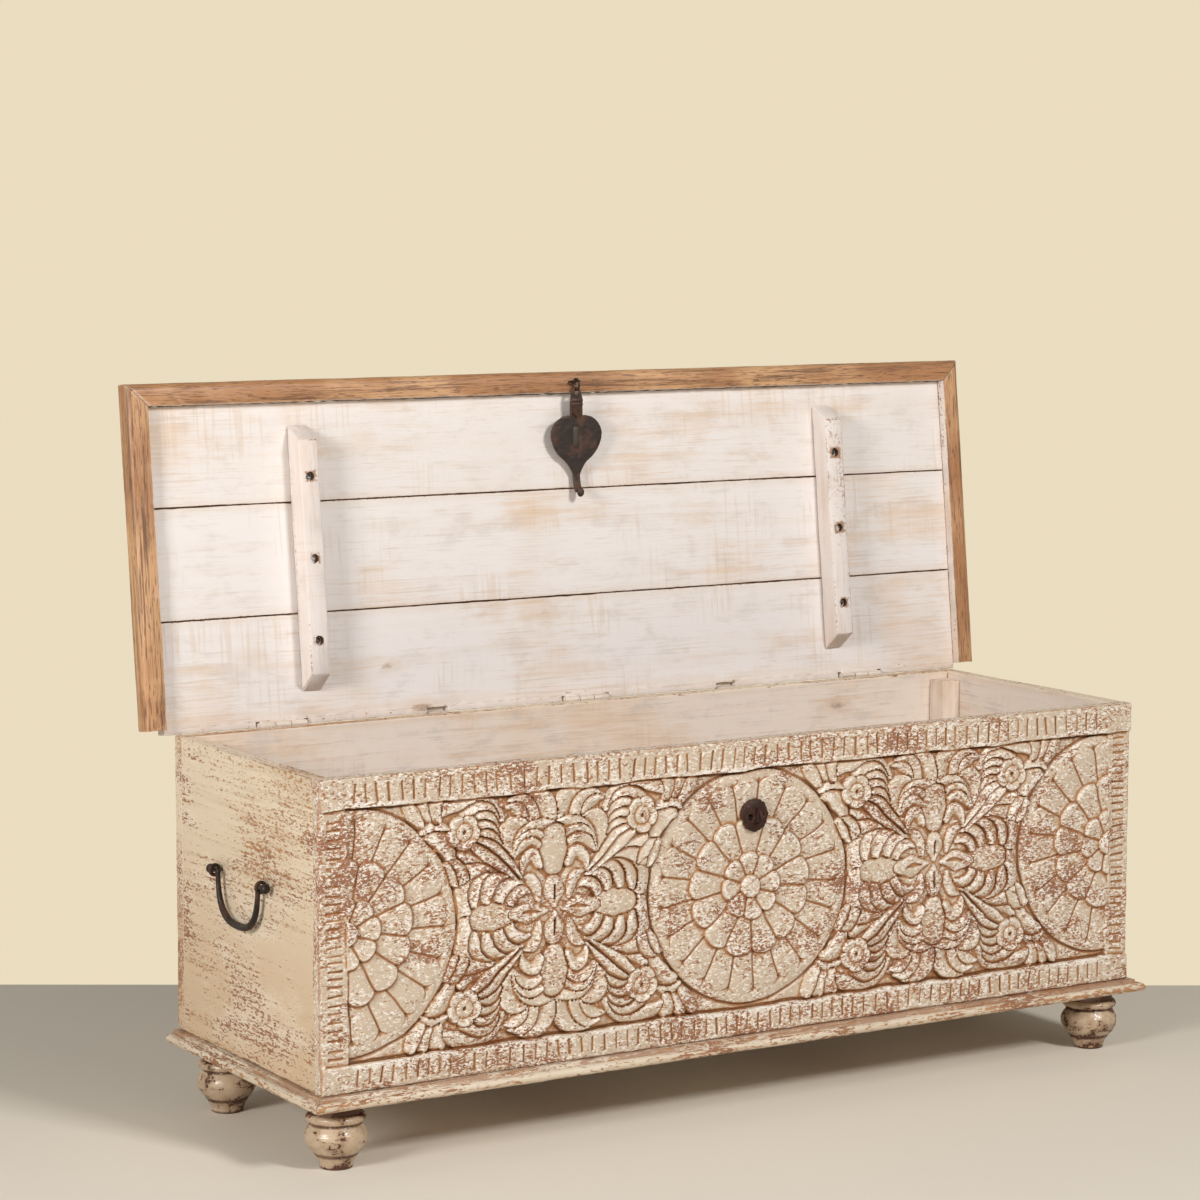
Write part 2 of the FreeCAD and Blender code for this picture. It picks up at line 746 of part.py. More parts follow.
def make_hinges():
    """Wall leaves, lid leaves, pins and their screws; the barrel is in three lengths."""
    third = hinge_width / 3
    wall_leaves, lid_leaves, pins, wall_screws, lid_screws = [], [], [], [], []
    for mark, x in hinge_centres():
        left = x - hinge_width / 2
        leaf_top = axis_z - hinge_knuckle_radius * hinge_leaf_drop_share
        plate = box(f"wall_leaf_{mark}", (left, left + hinge_width), (back_y, back_y + hinge_leaf_thickness),
                    (axis_z - hinge_wall_leaf, leaf_top))
        barrels = [rod(f"wall_barrel_{mark}_{end}", hinge_knuckle_radius, third,
                       (left + third * end, axis_y, axis_z), "+X") for end in (0, 2)]
        gap = box(f"wall_gap_{mark}",
                  (left + third - hinge_knuckle_gap, left + third * 2 + hinge_knuckle_gap),
                  (back_y, back_y + hinge_offset * 2),
                  (axis_z - hinge_knuckle_radius - hinge_knuckle_gap * 2, axis_z + hinge_knuckle_radius))
        hole = rod(f"wall_bore_{mark}", hinge_pin_radius, hinge_width, (left, axis_y, axis_z), "+X")
        screws = []
        for side in (-1, 0, 1):
            level = axis_z - hinge_wall_leaf / 2 - hinge_wall_leaf * (hinge_stagger_share * abs(side))
            at = (x + hinge_screw_pitch * side, back_y + hinge_leaf_thickness, level)
            screws.append(screw(f"wall_screw_{mark}_{side + 1}", at, "-Y",
                                hinge_screw_radius, hinge_screw_head_radius, hinge_screw_length))
        wall_screws += screws
        whole = joined(f"wall_leaf_whole_{mark}", [plate] + barrels)
        opened = less(f"wall_leaf_open_{mark}", whole, [gap, hole])
        wall_leaves.append(less(f"wall_leaf_shape_{mark}", opened, screws))

        inner = left + third + hinge_knuckle_gap
        barrel_length = third - hinge_knuckle_gap * 2
        lid_plate = box(f"lid_leaf_{mark}", (inner, inner + barrel_length),
                        (-hinge_offset, -(hinge_offset - hinge_leaf_thickness)), (ZERO, hinge_offset))
        wing = box(f"lid_wing_{mark}", (left, left + hinge_width),
                   (-hinge_offset, -(hinge_offset - hinge_leaf_thickness)), (hinge_offset, hinge_lid_leaf))
        barrel = rod(f"lid_barrel_{mark}", hinge_knuckle_radius, barrel_length, (inner, ZERO, ZERO), "+X")
        clear = rod(f"lid_bore_{mark}", hinge_pin_radius + hinge_pin_clearance, hinge_width,
                    (left, ZERO, ZERO), "+X")
        holes = []
        for side in (-1, 1):
            holes.append(screw(f"lid_screw_{mark}_{side + 1}",
                               (x + hinge_screw_pitch * side, -(hinge_offset - hinge_leaf_thickness),
                                (hinge_offset + hinge_lid_leaf) / 2), "-Y",
                               hinge_screw_radius, hinge_screw_head_radius, hinge_screw_length))
        lid_screws += holes
        whole = joined(f"lid_leaf_whole_{mark}", [lid_plate, wing, barrel])
        opened = less(f"lid_leaf_open_{mark}", whole, [clear])
        lid_leaves.append(less(f"lid_leaf_shape_{mark}", opened, holes))

        shaft = rod(f"pin_shaft_{mark}", hinge_pin_radius, hinge_width, (left, axis_y, axis_z), "+X")
        heads = [rod(f"pin_head_{mark}_0", hinge_pin_head_radius, hinge_pin_head_height,
                     (left - hinge_pin_head_height, axis_y, axis_z), "+X"),
                 rod(f"pin_head_{mark}_1", hinge_pin_head_radius, hinge_pin_head_height,
                     (left + hinge_width, axis_y, axis_z), "+X")]
        pins.append(joined(f"pin_{mark}", [shaft] + heads))
    return wall_leaves, lid_leaves, pins, wall_screws, lid_screws


def make_stops():
    """Angle irons on the back; the open lid's back edge rests on their raised ends."""
    irons, screws = [], []
    # The open lid's back edge falls away from the hinge at the lid's lean.
    pad_back = stop_reach - hinge_offset
    edge_z = hinge_offset / cosine(lid_lean) - pad_back * sine(lid_lean) / cosine(lid_lean)
    rest_z = axis_z + edge_z - stop_clearance
    for side, mark in ((-1, "left"), (1, "right")):
        x = stop_place * side
        iron = new_body(f"stop_{mark}")
        points = [(back_y, rim_z - stop_leg), (back_y + stop_thickness, rim_z - stop_leg),
                  (back_y + stop_thickness, rim_z - stop_thickness),
                  (back_y + stop_reach, rim_z - stop_thickness), (back_y + stop_reach, rest_z),
                  (back_y + stop_reach - stop_pad, rest_z), (back_y + stop_reach - stop_pad, rim_z),
                  (back_y, rim_z)]
        pad(iron, f"stop_{mark}_pad", "YZ_Plane", points, stop_width, offset=x)
        fixing = screw(f"stop_screw_{mark}", (x, back_y + stop_thickness, rim_z - stop_leg / 2), "-Y",
                       hinge_screw_radius, hinge_screw_head_radius, hinge_screw_length)
        screws.append(fixing)
        irons.append(less(f"stop_iron_{mark}", iron, [fixing]))
    return irons, screws


# Lid planks, mouldings, battens and screws, in the closed lid's frame
lid_outer_y = -(lid_inner_depth + lid_moulding_width)
lid_outer_x = lid_length / 2
lid_inner_x = lid_outer_x - lid_moulding_width


def batten_screws():
    """Recessed screws up through both battens, and the wells above their heads."""
    screws, wells = [], []
    for side, mark in ((-1, "left"), (1, "right")):
        for number in range(3):
            x = batten_place * side
            y = -(batten_screw_first + batten_screw_pitch * number)
            head_z = -(batten_height - counterbore_depth)
            length = batten_height - counterbore_depth + wood_screw_bite
            screws.append(screw(f"batten_screw_{mark}_{number}", (x, y, head_z), "+Z",
                                wood_screw_radius, wood_screw_head_radius, length))
            wells.append(rod(f"batten_well_{mark}_{number}", counterbore_radius,
                             counterbore_depth + overrun, (x, y, -(batten_height + overrun)), "+Z"))
    return screws, wells


def make_lid_planks(screws, hinge_screws):
    planks = {}
    spans = {"back": (-(back_seam_place - plank_seam / 2), -hinge_offset),
             "middle": (-(front_seam_place - plank_seam / 2), -(back_seam_place + plank_seam / 2)),
             "front": (-lid_inner_depth, -(front_seam_place + plank_seam / 2))}
    for name, span in spans.items():
        board = box(f"lid_{name}_board", (-lid_inner_x, lid_inner_x), span, (ZERO, lid_plank_thickness))
        tools = screws + hinge_screws if name == "back" else screws
        planks[f"lid_plank_{name}"] = less(f"lid_{name}_shape", board, tools)
    return planks


def moulding_profile(outer, inward):
    """The lid moulding's section: a square inside and two rounded outer edges."""
    round_in = outer + lid_edge_radius * inward
    turn = 1 if inward > 0 else -1
    points = [(outer + lid_moulding_width * inward, lid_plank_thickness), (round_in, lid_plank_thickness),
              (outer, lid_plank_thickness - lid_edge_radius), (outer, -(lid_lip - lid_edge_radius)),
              (round_in, -lid_lip), (outer + lid_moulding_width * inward, -lid_lip)]
    return points, {1: (lid_edge_radius, turn), 3: (lid_edge_radius, turn)}


def make_lid_mouldings(staple):
    pieces = {}
    far = lid_moulding_width + overrun
    front = new_body("lid_front")
    points, arcs = moulding_profile(lid_outer_y, 1)
    pad(front, "lid_front_pad", "YZ_Plane", points, lid_length, arcs)
    for side, mark in ((-1, "left"), (1, "right")):
        corner_x = lid_outer_x * side
        out_x = overrun * side
        pocket(front, f"lid_front_mitre_{mark}", "XY_Plane",
               [(corner_x + out_x, lid_outer_y - overrun), (corner_x + out_x, lid_outer_y + far),
                (corner_x - far * side, lid_outer_y + far)])
        rail = new_body(f"lid_{mark}")
        points, arcs = moulding_profile(corner_x, -side)
        length = -lid_outer_y - hinge_offset
        pad(rail, f"lid_{mark}_pad", "XZ_Plane", points, length, arcs,
            offset=(hinge_offset - lid_outer_y) / 2)
        pocket(rail, f"lid_{mark}_mitre", "XY_Plane",
               [(corner_x + out_x, lid_outer_y - overrun), (corner_x - far * side, lid_outer_y + far),
                (corner_x - far * side, lid_outer_y - overrun)])
        pieces[f"lid_{mark}_moulding"] = rail
    pieces["lid_front_moulding"] = less("lid_front_shape", front, [staple])
    return pieces


def make_batten(mark, side, screws, wells):
    """A bevelled bar across the planks, widest where it is glued to them."""
    batten = new_body(f"batten_{mark}")
    points = [(-batten_back_end, ZERO), (-batten_front_end, ZERO),
              (-(batten_front_end - batten_bevel), -batten_height),
              (-(batten_back_end + batten_bevel), -batten_height)]
    pad(batten, f"batten_{mark}_pad", "YZ_Plane", points, batten_width, offset=batten_place * side)
    return less(f"batten_{mark}_shape", batten, screws + wells)


# Staple, ring and hasp; the ring and hasp are drawn as they hang
def make_hasp_staple():
    level = -(lid_lip + hasp_staple_stand)
    depth = hasp_staple_stand + lid_lip
    pieces = [rod("hasp_crown", hasp_wire_radius, hasp_staple_half * 2,
                  (-hasp_staple_half, -crown_forward, level), "+X")]
    for side, mark in ((-1, "left"), (1, "right")):
        at = (hasp_staple_half * side, -crown_forward, level)
        pieces.append(rod(f"hasp_staple_leg_{mark}", hasp_wire_radius, depth, at, "+Z"))
        pieces.append(ball(f"hasp_staple_bend_{mark}", hasp_wire_radius, at))
    return joined("hasp_staple_shape", pieces)


def make_ring():
    return ring("hasp_ring_shape", ring_radius, hasp_wire_radius, (ZERO, ZERO, -ring_drop), "+X")


def make_hasp():
    """A heart-shaped plate on a strap, with a slot, an eye and a tail that curls forward."""
    plate = new_body("hasp_plate")
    hang = ring_radius - hasp_wire_radius - ring_play + hasp_hole_radius
    waist = hasp_heart_widest + (hasp_stem_start - hasp_heart_widest) * heart_waist_share
    level = {name: -(ring_drop + size) for name, size in (
        ("top", hang - hasp_eye_half), ("hole", hang), ("neck", hang + hasp_eye_half),
        ("shoulder", hasp_shoulder), ("widest", hasp_heart_widest), ("waist", waist),
        ("stem", hasp_stem_start))}
    waist_half = (hasp_heart_half + hasp_stem_half) / 2
    right = [(hasp_eye_half, level["hole"]), (hasp_strap_half, level["neck"]),
             (hasp_strap_half, level["shoulder"]), (hasp_heart_half, level["widest"]),
             (waist_half, level["waist"]), (hasp_stem_half, level["stem"])]
    left = [(-x, z) for x, z in reversed(right)]
    shoulder_radius = hasp_heart_half * heart_shoulder_share
    side_radius = hasp_heart_half * heart_side_share
    arcs = {0: (hasp_eye_half, -1), 3: (shoulder_radius, -1), 4: (side_radius, -1), 5: (side_radius, 1),
            7: (side_radius, 1), 8: (side_radius, -1), 9: (shoulder_radius, -1), 12: (hasp_eye_half, -1)}
    pad(plate, "hasp_outline", "XZ_Plane", [(ZERO, level["top"])] + right + left, hasp_thickness, arcs)

    bend = (hasp_tail_length * hasp_tail_length + hasp_tail_curl * hasp_tail_curl) / (2 * hasp_tail_curl)
    fall = hasp_tail_length / bend
    run = 1 - hasp_tail_curl / bend
    half = hasp_thickness / 2
    start = level["stem"]
    points = [(half, start), ((bend + half) * run - bend, start - (bend + half) * fall),
              ((bend - half) * run - bend, start - (bend - half) * fall), (-half, start)]
    pad(plate, "hasp_tail", "YZ_Plane", points, hasp_stem_half * 2,
        {0: (bend + half, -1), 2: (bend - half, 1)})

    strap_top = level["neck"] - hasp_eye_half * strap_overlap_share
    strap = box("hasp_strap", (-hasp_strap_half, hasp_strap_half),
                (-(hasp_strap_thickness / 2), hasp_strap_thickness / 2), (level["shoulder"], strap_top))
    slot_z = -(ring_drop + hasp_slot_place)
    slot = box("hasp_slot", (-hasp_slot_half, hasp_slot_half), (-overrun, overrun),
               (slot_z - hasp_slot_length / 2, slot_z + hasp_slot_length / 2))
    eye = rod("hasp_eye", hasp_hole_radius, overrun * 2, (ZERO, overrun, level["hole"]), "-Y")
    return less("hasp_shape", joined("hasp_whole", [plate, strap]), [slot, eye])


# Drop handles: a bail that tapers to its ends, through two eyes riveted into the end panel
def bow_centre(angle):
    """A point of the bail's centre line, as (across, down), at an angle from one end to the other."""
    across = math.cos(angle)
    power = handle_bow_power.value
    return (handle_half.value * math.copysign(abs(across) ** power, across),
            -handle_drop.value * abs(math.sin(angle)) ** power)


def make_bail(mark, side):
    axis_x = (half_length + handle_stand) * side
    hoops = []
    step = math.pi / (bail_stations - 1)
    for number in range(bail_stations):
        angle = step * number
        across, down = bow_centre(angle)
        before = bow_centre(max(angle - step / 4, 0))
        after = bow_centre(min(angle + step / 4, math.pi))
        along = Vector(0, after[0] - before[0], after[1] - before[1])
        if number in (0, bail_stations - 1):
            along = Vector(0, 0, -1 if number == 0 else 1)
        swell = (handle_middle_radius - handle_end_radius).value
        radius = handle_end_radius.value + swell * math.sin(angle)
        centre = Vector(axis_x.value, across, handle_height.value + down)
        hoops.append(Part.Wire(Part.Circle(centre, along, radius).toShape()))
    bow = doc.addObject("Part::Feature", f"{mark}_bow")
    bow.Shape = Part.makeLoft(hoops, True, False)
    pieces = [bow]
    for end, end_mark in ((-1, "front"), (1, "back")):
        corner = (axis_x, handle_half * end, handle_height)
        turn = "+Y" if end > 0 else "-Y"
        pieces.append(ball(f"{mark}_bend_{end_mark}", handle_end_radius, corner))
        pieces.append(rod(f"{mark}_journal_{end_mark}", handle_journal_radius,
                          handle_knob_place - handle_half, corner, turn))
        pieces.append(ball(f"{mark}_knob_{end_mark}", handle_knob_radius,
                           (axis_x, handle_knob_place * end, handle_height)))
    return joined(f"{mark}_bail_shape", pieces)


def make_eyes(mark, side):
    """Ringed spikes through the end panel with a riveted end inside."""
    axis_x = (half_length + handle_stand) * side
    turn = "+X" if side < 0 else "-X"
    loop_turn = "+Y turned" if side < 0 else "+Y"
    eyes = []
    for end, end_mark in ((-1, "front"), (1, "back")):
        y = eye_place * end
        loop = ring(f"{mark}_eye_{end_mark}", eye_ring_radius, eye_wire_radius, (axis_x, y, handle_height),
                    loop_turn)
        start = axis_x - eye_ring_radius * side
        stem = rod(f"{mark}_eye_stem_{end_mark}", eye_wire_radius,
                   handle_stand - eye_ring_radius + board_thickness, (start, y, handle_height), turn)
        rivet = rod(f"{mark}_eye_rivet_{end_mark}", eye_rivet_radius, eye_rivet_height,
                    (inside_x * side, y, handle_height), turn)
        eyes.append(joined(f"{mark}_eye_shape_{end_mark}", [loop, stem, rivet]))
    return eyes


# Assembly
lock_staple, lock_boss = make_lock()
publish("front_panel", make_front(lock_staple))
publish("lock_boss", lock_boss)
publish("lock_staple", lock_staple)

wall_leaves, lid_leaves, hinge_pins, wall_screws, lid_screws = make_hinges()
stop_irons, stop_screws = make_stops()
back_board = box("back_board", (-half_length, half_length), (inside_back_y, back_y), (body_z, rim_z))
publish("back_panel", less("back_panel_shape", back_board, wall_screws + stop_screws))
for mark, side in (("left", -1), ("right", 1)):
    eyes = make_eyes(mark, side)
    publish(f"{mark}_end_panel", make_end_panel(mark, side, eyes))
    publish(f"{mark}_handle_eyes", group(f"{mark}_eyes", eyes))
    publish(f"{mark}_bail", make_bail(mark, side))
for name, piece in make_posts().items():
    publish(name, piece)

bottom = make_bottom()
base = make_base()
sockets = []
for mark, side in (("left", -1), ("right", 1)):
    pair = [foot_socket(f"socket_front_{mark}", side, front_y + front_foot_inset),
            foot_socket(f"socket_back_{mark}", side, back_y - back_foot_inset)]
    name = f"base_{mark}_moulding"
    base[name] = less(name + "_shape", base[name], pair)
    sockets += pair
for name in ("base_front_moulding", "base_back_rail"):
    base[name] = less(name + "_shape", base[name], sockets)
for name, piece in list(bottom.items()) + list(base.items()) + list(make_feet().items()):
    publish(name, piece)

publish("hinge_wall_leaves", group("wall_leaf_set", wall_leaves))
publish("hinge_pins", group("pin_set", hinge_pins))
publish("hinge_wall_screws", group("wall_screw_set", wall_screws))
publish("lid_stops", group("stop_set", stop_irons))
publish("lid_stop_screws", group("stop_screw_set", stop_screws))
publish("hinge_lid_leaves", group("lid_leaf_set", lid_leaves), "lid")
publish("hinge_lid_screws", group("lid_screw_set", lid_screws), "lid")

screws, wells = batten_screws()
hasp_staple = make_hasp_staple()
for name, piece in make_lid_planks(screws, lid_screws).items():
    publish(name, piece, "lid")
for name, piece in make_lid_mouldings(hasp_staple).items():
    publish(name, piece, "lid")
for mark, side in (("left", -1), ("right", 1)):
    publish(f"{mark}_batten", make_batten(mark, side, screws, wells), "lid")
publish("batten_screws", group("batten_screw_set", screws), "lid")
publish("hasp_staple", hasp_staple, "lid")
publish("hasp_ring", make_ring(), "link")
publish("hasp", make_hasp(), "link")

# The origin lies under the middle of the whole chest as it stands with its lid open.
doc.recompute()
spans = [node.Shape.optimalBoundingBox(False, False) for node in PUBLISHED]
middle_y = (min(span.YMin for span in spans) + max(span.YMax for span in spans)) / 2
sheet.set(sheet.getCellFromAlias("origin_y"), str(-middle_y))
doc.recompute()

failed = [item.Name for item in doc.Objects if "Invalid" in item.State or "Error" in item.State]
failed += [node.Label for node in PUBLISHED if node.Shape.isNull() or not node.Shape.isValid()]
if failed:
    raise SystemExit("failed: " + ", ".join(failed))
os.makedirs("parts", exist_ok=True)
for node in PUBLISHED:
    node.Shape.exportStep(f"parts/{node.Label}.step")
print(len(PUBLISHED), "nodes, origin shift", round(-middle_y, 3))
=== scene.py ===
"""Storage chest: carved and painted front, whitewashed inside, oiled lid moulding and forged iron."""
import json
import logging
import math
from dataclasses import dataclass, field
from enum import Enum
from typing import Callable, Optional, Sequence, Union

import bmesh
import bpy
import numpy as np
from mathutils import Matrix, Vector


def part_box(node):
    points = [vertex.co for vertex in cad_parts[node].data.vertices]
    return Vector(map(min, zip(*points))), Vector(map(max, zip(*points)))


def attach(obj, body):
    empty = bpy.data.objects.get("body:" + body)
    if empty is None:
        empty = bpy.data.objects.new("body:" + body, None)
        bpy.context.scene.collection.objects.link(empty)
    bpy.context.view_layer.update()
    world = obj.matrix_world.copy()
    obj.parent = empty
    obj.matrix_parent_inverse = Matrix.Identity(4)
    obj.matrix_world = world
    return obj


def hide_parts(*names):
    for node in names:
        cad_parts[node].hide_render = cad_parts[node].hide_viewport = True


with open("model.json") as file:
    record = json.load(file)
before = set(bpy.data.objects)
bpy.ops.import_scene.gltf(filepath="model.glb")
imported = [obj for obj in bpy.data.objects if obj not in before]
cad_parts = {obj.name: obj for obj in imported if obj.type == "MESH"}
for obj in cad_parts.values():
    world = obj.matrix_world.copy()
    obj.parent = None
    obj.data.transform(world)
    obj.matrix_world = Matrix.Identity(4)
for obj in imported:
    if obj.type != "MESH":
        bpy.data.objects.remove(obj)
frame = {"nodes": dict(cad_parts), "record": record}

LOG = logging.getLogger("chest")
MM = 0.001
Point = tuple[float, float]


class Slot(str, Enum):
    """Material slots of the record."""

    CARVED = "carved_paint"
    CREAM = "cream_paint"
    WHITE = "whitewashed_wood"
    BROWN = "brown_wood"
    IRON = "forged_iron"
    STEEL = "screw_steel"


class Body(str, Enum):
    """Bodies that pieces ride on."""

    CHEST = "chest"
    LID = "lid"
    RING = "hasp_ring"
    HASP = "hasp"
    LEFT = "left_handle"
    RIGHT = "right_handle"


class Axis(int, Enum):
    """Direction that a board's grain runs in."""

    X = 0
    Y = 1
    Z = 2


# Shader helpers
class Val:
    """A shader socket that takes part in Python arithmetic."""

    def __init__(self, graph: "Graph", socket: bpy.types.NodeSocket) -> None:
        """Wrap one output socket of a graph."""
        self.graph = graph
        self.socket = socket

    def _math(self, operation: str, first: "Feed", second: "Feed") -> "Val":
        """The value of a new Math node."""
        return self.graph.node("ShaderNodeMath", {"operation": operation}, first, second)

    def __add__(self, other: "Feed") -> "Val":
        """Sum."""
        return self._math("ADD", self, other)

    def __radd__(self, other: "Feed") -> "Val":
        """Sum from the right."""
        return self._math("ADD", other, self)

    def __sub__(self, other: "Feed") -> "Val":
        """Difference."""
        return self._math("SUBTRACT", self, other)

    def __rsub__(self, other: "Feed") -> "Val":
        """Difference from the right."""
        return self._math("SUBTRACT", other, self)

    def __mul__(self, other: "Feed") -> "Val":
        """Product."""
        return self._math("MULTIPLY", self, other)

    def __rmul__(self, other: "Feed") -> "Val":
        """Product from the right."""
        return self._math("MULTIPLY", other, self)

    def step(self, low: float, high: float) -> "Val":
        """Mask that goes smoothly from 0 at low to 1 at high; high may be the lower number."""
        settings = {"interpolation_type": "SMOOTHSTEP"}
        return self.graph.node("ShaderNodeMapRange", settings, self, low, high, 0.0, 1.0)


Feed = Union[Val, float, Sequence[float]]


class Graph:
    """Builds one material; each value is a Val."""

    def __init__(self, owner: Union[bpy.types.Material, bpy.types.World]) -> None:
        """Empty the nodes of a material or a world.

        Args:
            owner: What the nodes belong to.
        """
        owner.use_nodes = True
        self.owner = owner
        self.tree = owner.node_tree
        self.tree.nodes.clear()

    def node(self, kind: str, settings: Optional[dict] = None, *values: Feed, out: Union[int, str] = 0,
             **named: Feed) -> Val:
        """Add a node.

        Args:
            kind: The node's type.
            settings: Properties that are set first.
            values: Values or links of its first inputs, in order.
            out: The output that is returned.
            named: Values or links of inputs by name, with _ for a space.

        Returns:
            The chosen output.
        """
        made = self.tree.nodes.new(kind)
        for key, value in (settings or {}).items():
            setattr(made, key, value)
        for index, value in enumerate(values):
            self.feed(made.inputs[index], value)
        for key, value in named.items():
            self.feed(made.inputs[key.replace("_", " ")], value)
        return Val(self, made.outputs[out] if made.outputs else None)

    def feed(self, target: bpy.types.NodeSocket, value: Feed) -> None:
        """Link a value to an input or set it there."""
        if isinstance(value, Val):
            self.tree.links.new(value.socket, target)
        elif isinstance(target.default_value, float) or not hasattr(value, "__len__"):
            target.default_value = value
        else:
            filled = tuple(value) + (1.0,) * (len(target.default_value) - len(value))
            target.default_value = filled

    def place(self, scale: Sequence[float] = (1, 1, 1), turn: Sequence[float] = (0, 0, 0),
              shift: Sequence[float] = (0, 0, 0)) -> Val:
        """Object coordinates, turned by degrees and then scaled.

        Args:
            scale: Scale on each axis.
            turn: Degrees about each axis.
            shift: Move on each axis, in metres before scaling.

        Returns:
            The mapped vector.
        """
        spot = self.node("ShaderNodeTexCoord", None, out="Object")
        apart = self.node("ShaderNodeAttribute", {"attribute_name": "seed"}, out="Vector")
        spot = self.node("ShaderNodeVectorMath", {"operation": "ADD"}, spot, apart)
        if any(turn):
            spot = self.node("ShaderNodeMapping", None, spot, Rotation=[math.radians(v) for v in turn])
        moved = [s * k for s, k in zip(shift, scale)]
        return self.node("ShaderNodeMapping", None, spot, Location=moved, Scale=scale)

    def noise(self, vector: Val, scale: float, detail: float = 4.0, rough: float = 0.5,
              twist: float = 0.0) -> Val:
        """Noise value about 0.5."""
        return self.node("ShaderNodeTexNoise", None, Vector=vector, Scale=scale, Detail=detail,
                         Roughness=rough, Distortion=twist)

    def grain(self, stretch: Sequence[float], turn: Sequence[float], detail: float = 4.0,
              rough: float = 0.5, twist: float = 0.0) -> Val:
        """Noise value about 0.5, stretched along the grain by features per metre on each axis."""
        return self.noise(self.place(stretch, turn), 1.0, detail, rough, twist)

    def cells(self, vector: Val, scale: float, feature: str = "F1") -> Val:
        """Distance to the nearest scattered point."""
        return self.node("ShaderNodeTexVoronoi", {"feature": feature}, Vector=vector, Scale=scale)

    def mix(self, mask: Feed, under: Feed, over: Feed, mode: str = "MIX") -> Val:
        """Mix two colours.

        Args:
            mask: Share of the second colour.
            under: First colour.
            over: Second colour.
            mode: Blend type.

        Returns:
            The mixed colour.
        """
        made = self.tree.nodes.new("ShaderNodeMix")
        made.data_type = "RGBA"
        made.blend_type = mode
        for index, value in ((0, mask), (6, under), (7, over)):
            self.feed(made.inputs[index], value)
        return Val(self, made.outputs[2])

    def attribute(self, name: str) -> Val:
        """A number stored on the mesh."""
        return self.node("ShaderNodeAttribute", {"attribute_name": name}, out="Fac")

    def bump(self, height: Val, strength: float, depth: float) -> Val:
        """Bump from a height of 0 to 1 that stands for a depth in metres."""
        return self.node("ShaderNodeBump", None, Strength=strength, Distance=depth, Height=height)

    def surface(self, **sockets: Feed) -> bpy.types.Material:
        """Finish with a Principled surface.

        Args:
            sockets: Values or links of its inputs by name, with _ for a space.

        Returns:
            The material.
        """
        shader = self.node("ShaderNodeBsdfPrincipled", None, **sockets)
        self.node("ShaderNodeOutputMaterial", None, Surface=shader)
        return self.owner


# Finishes
class Finish:
    """A finish that builds its material once for each turn of the grain."""

    made: dict[tuple, bpy.types.Material] = {}

    def material(self, turn: tuple[float, float, float] = (0, 0, 0)) -> bpy.types.Material:
        """The finish's material.

        Args:
            turn: Degrees about each axis that bring the grain onto X.

        Returns:
            The material, made at the first call.
        """
        key = (self, turn)
        if key not in Finish.made:
            name = type(self).__name__ + "".join(f"_{round(v)}" for v in turn if v)
            Finish.made[key] = self.build(Graph(bpy.data.materials.new(name)), turn)
        return Finish.made[key]

    def build(self, graph: Graph, turn: Sequence[float]) -> bpy.types.Material:
        """Fill an empty material."""
        raise NotImplementedError


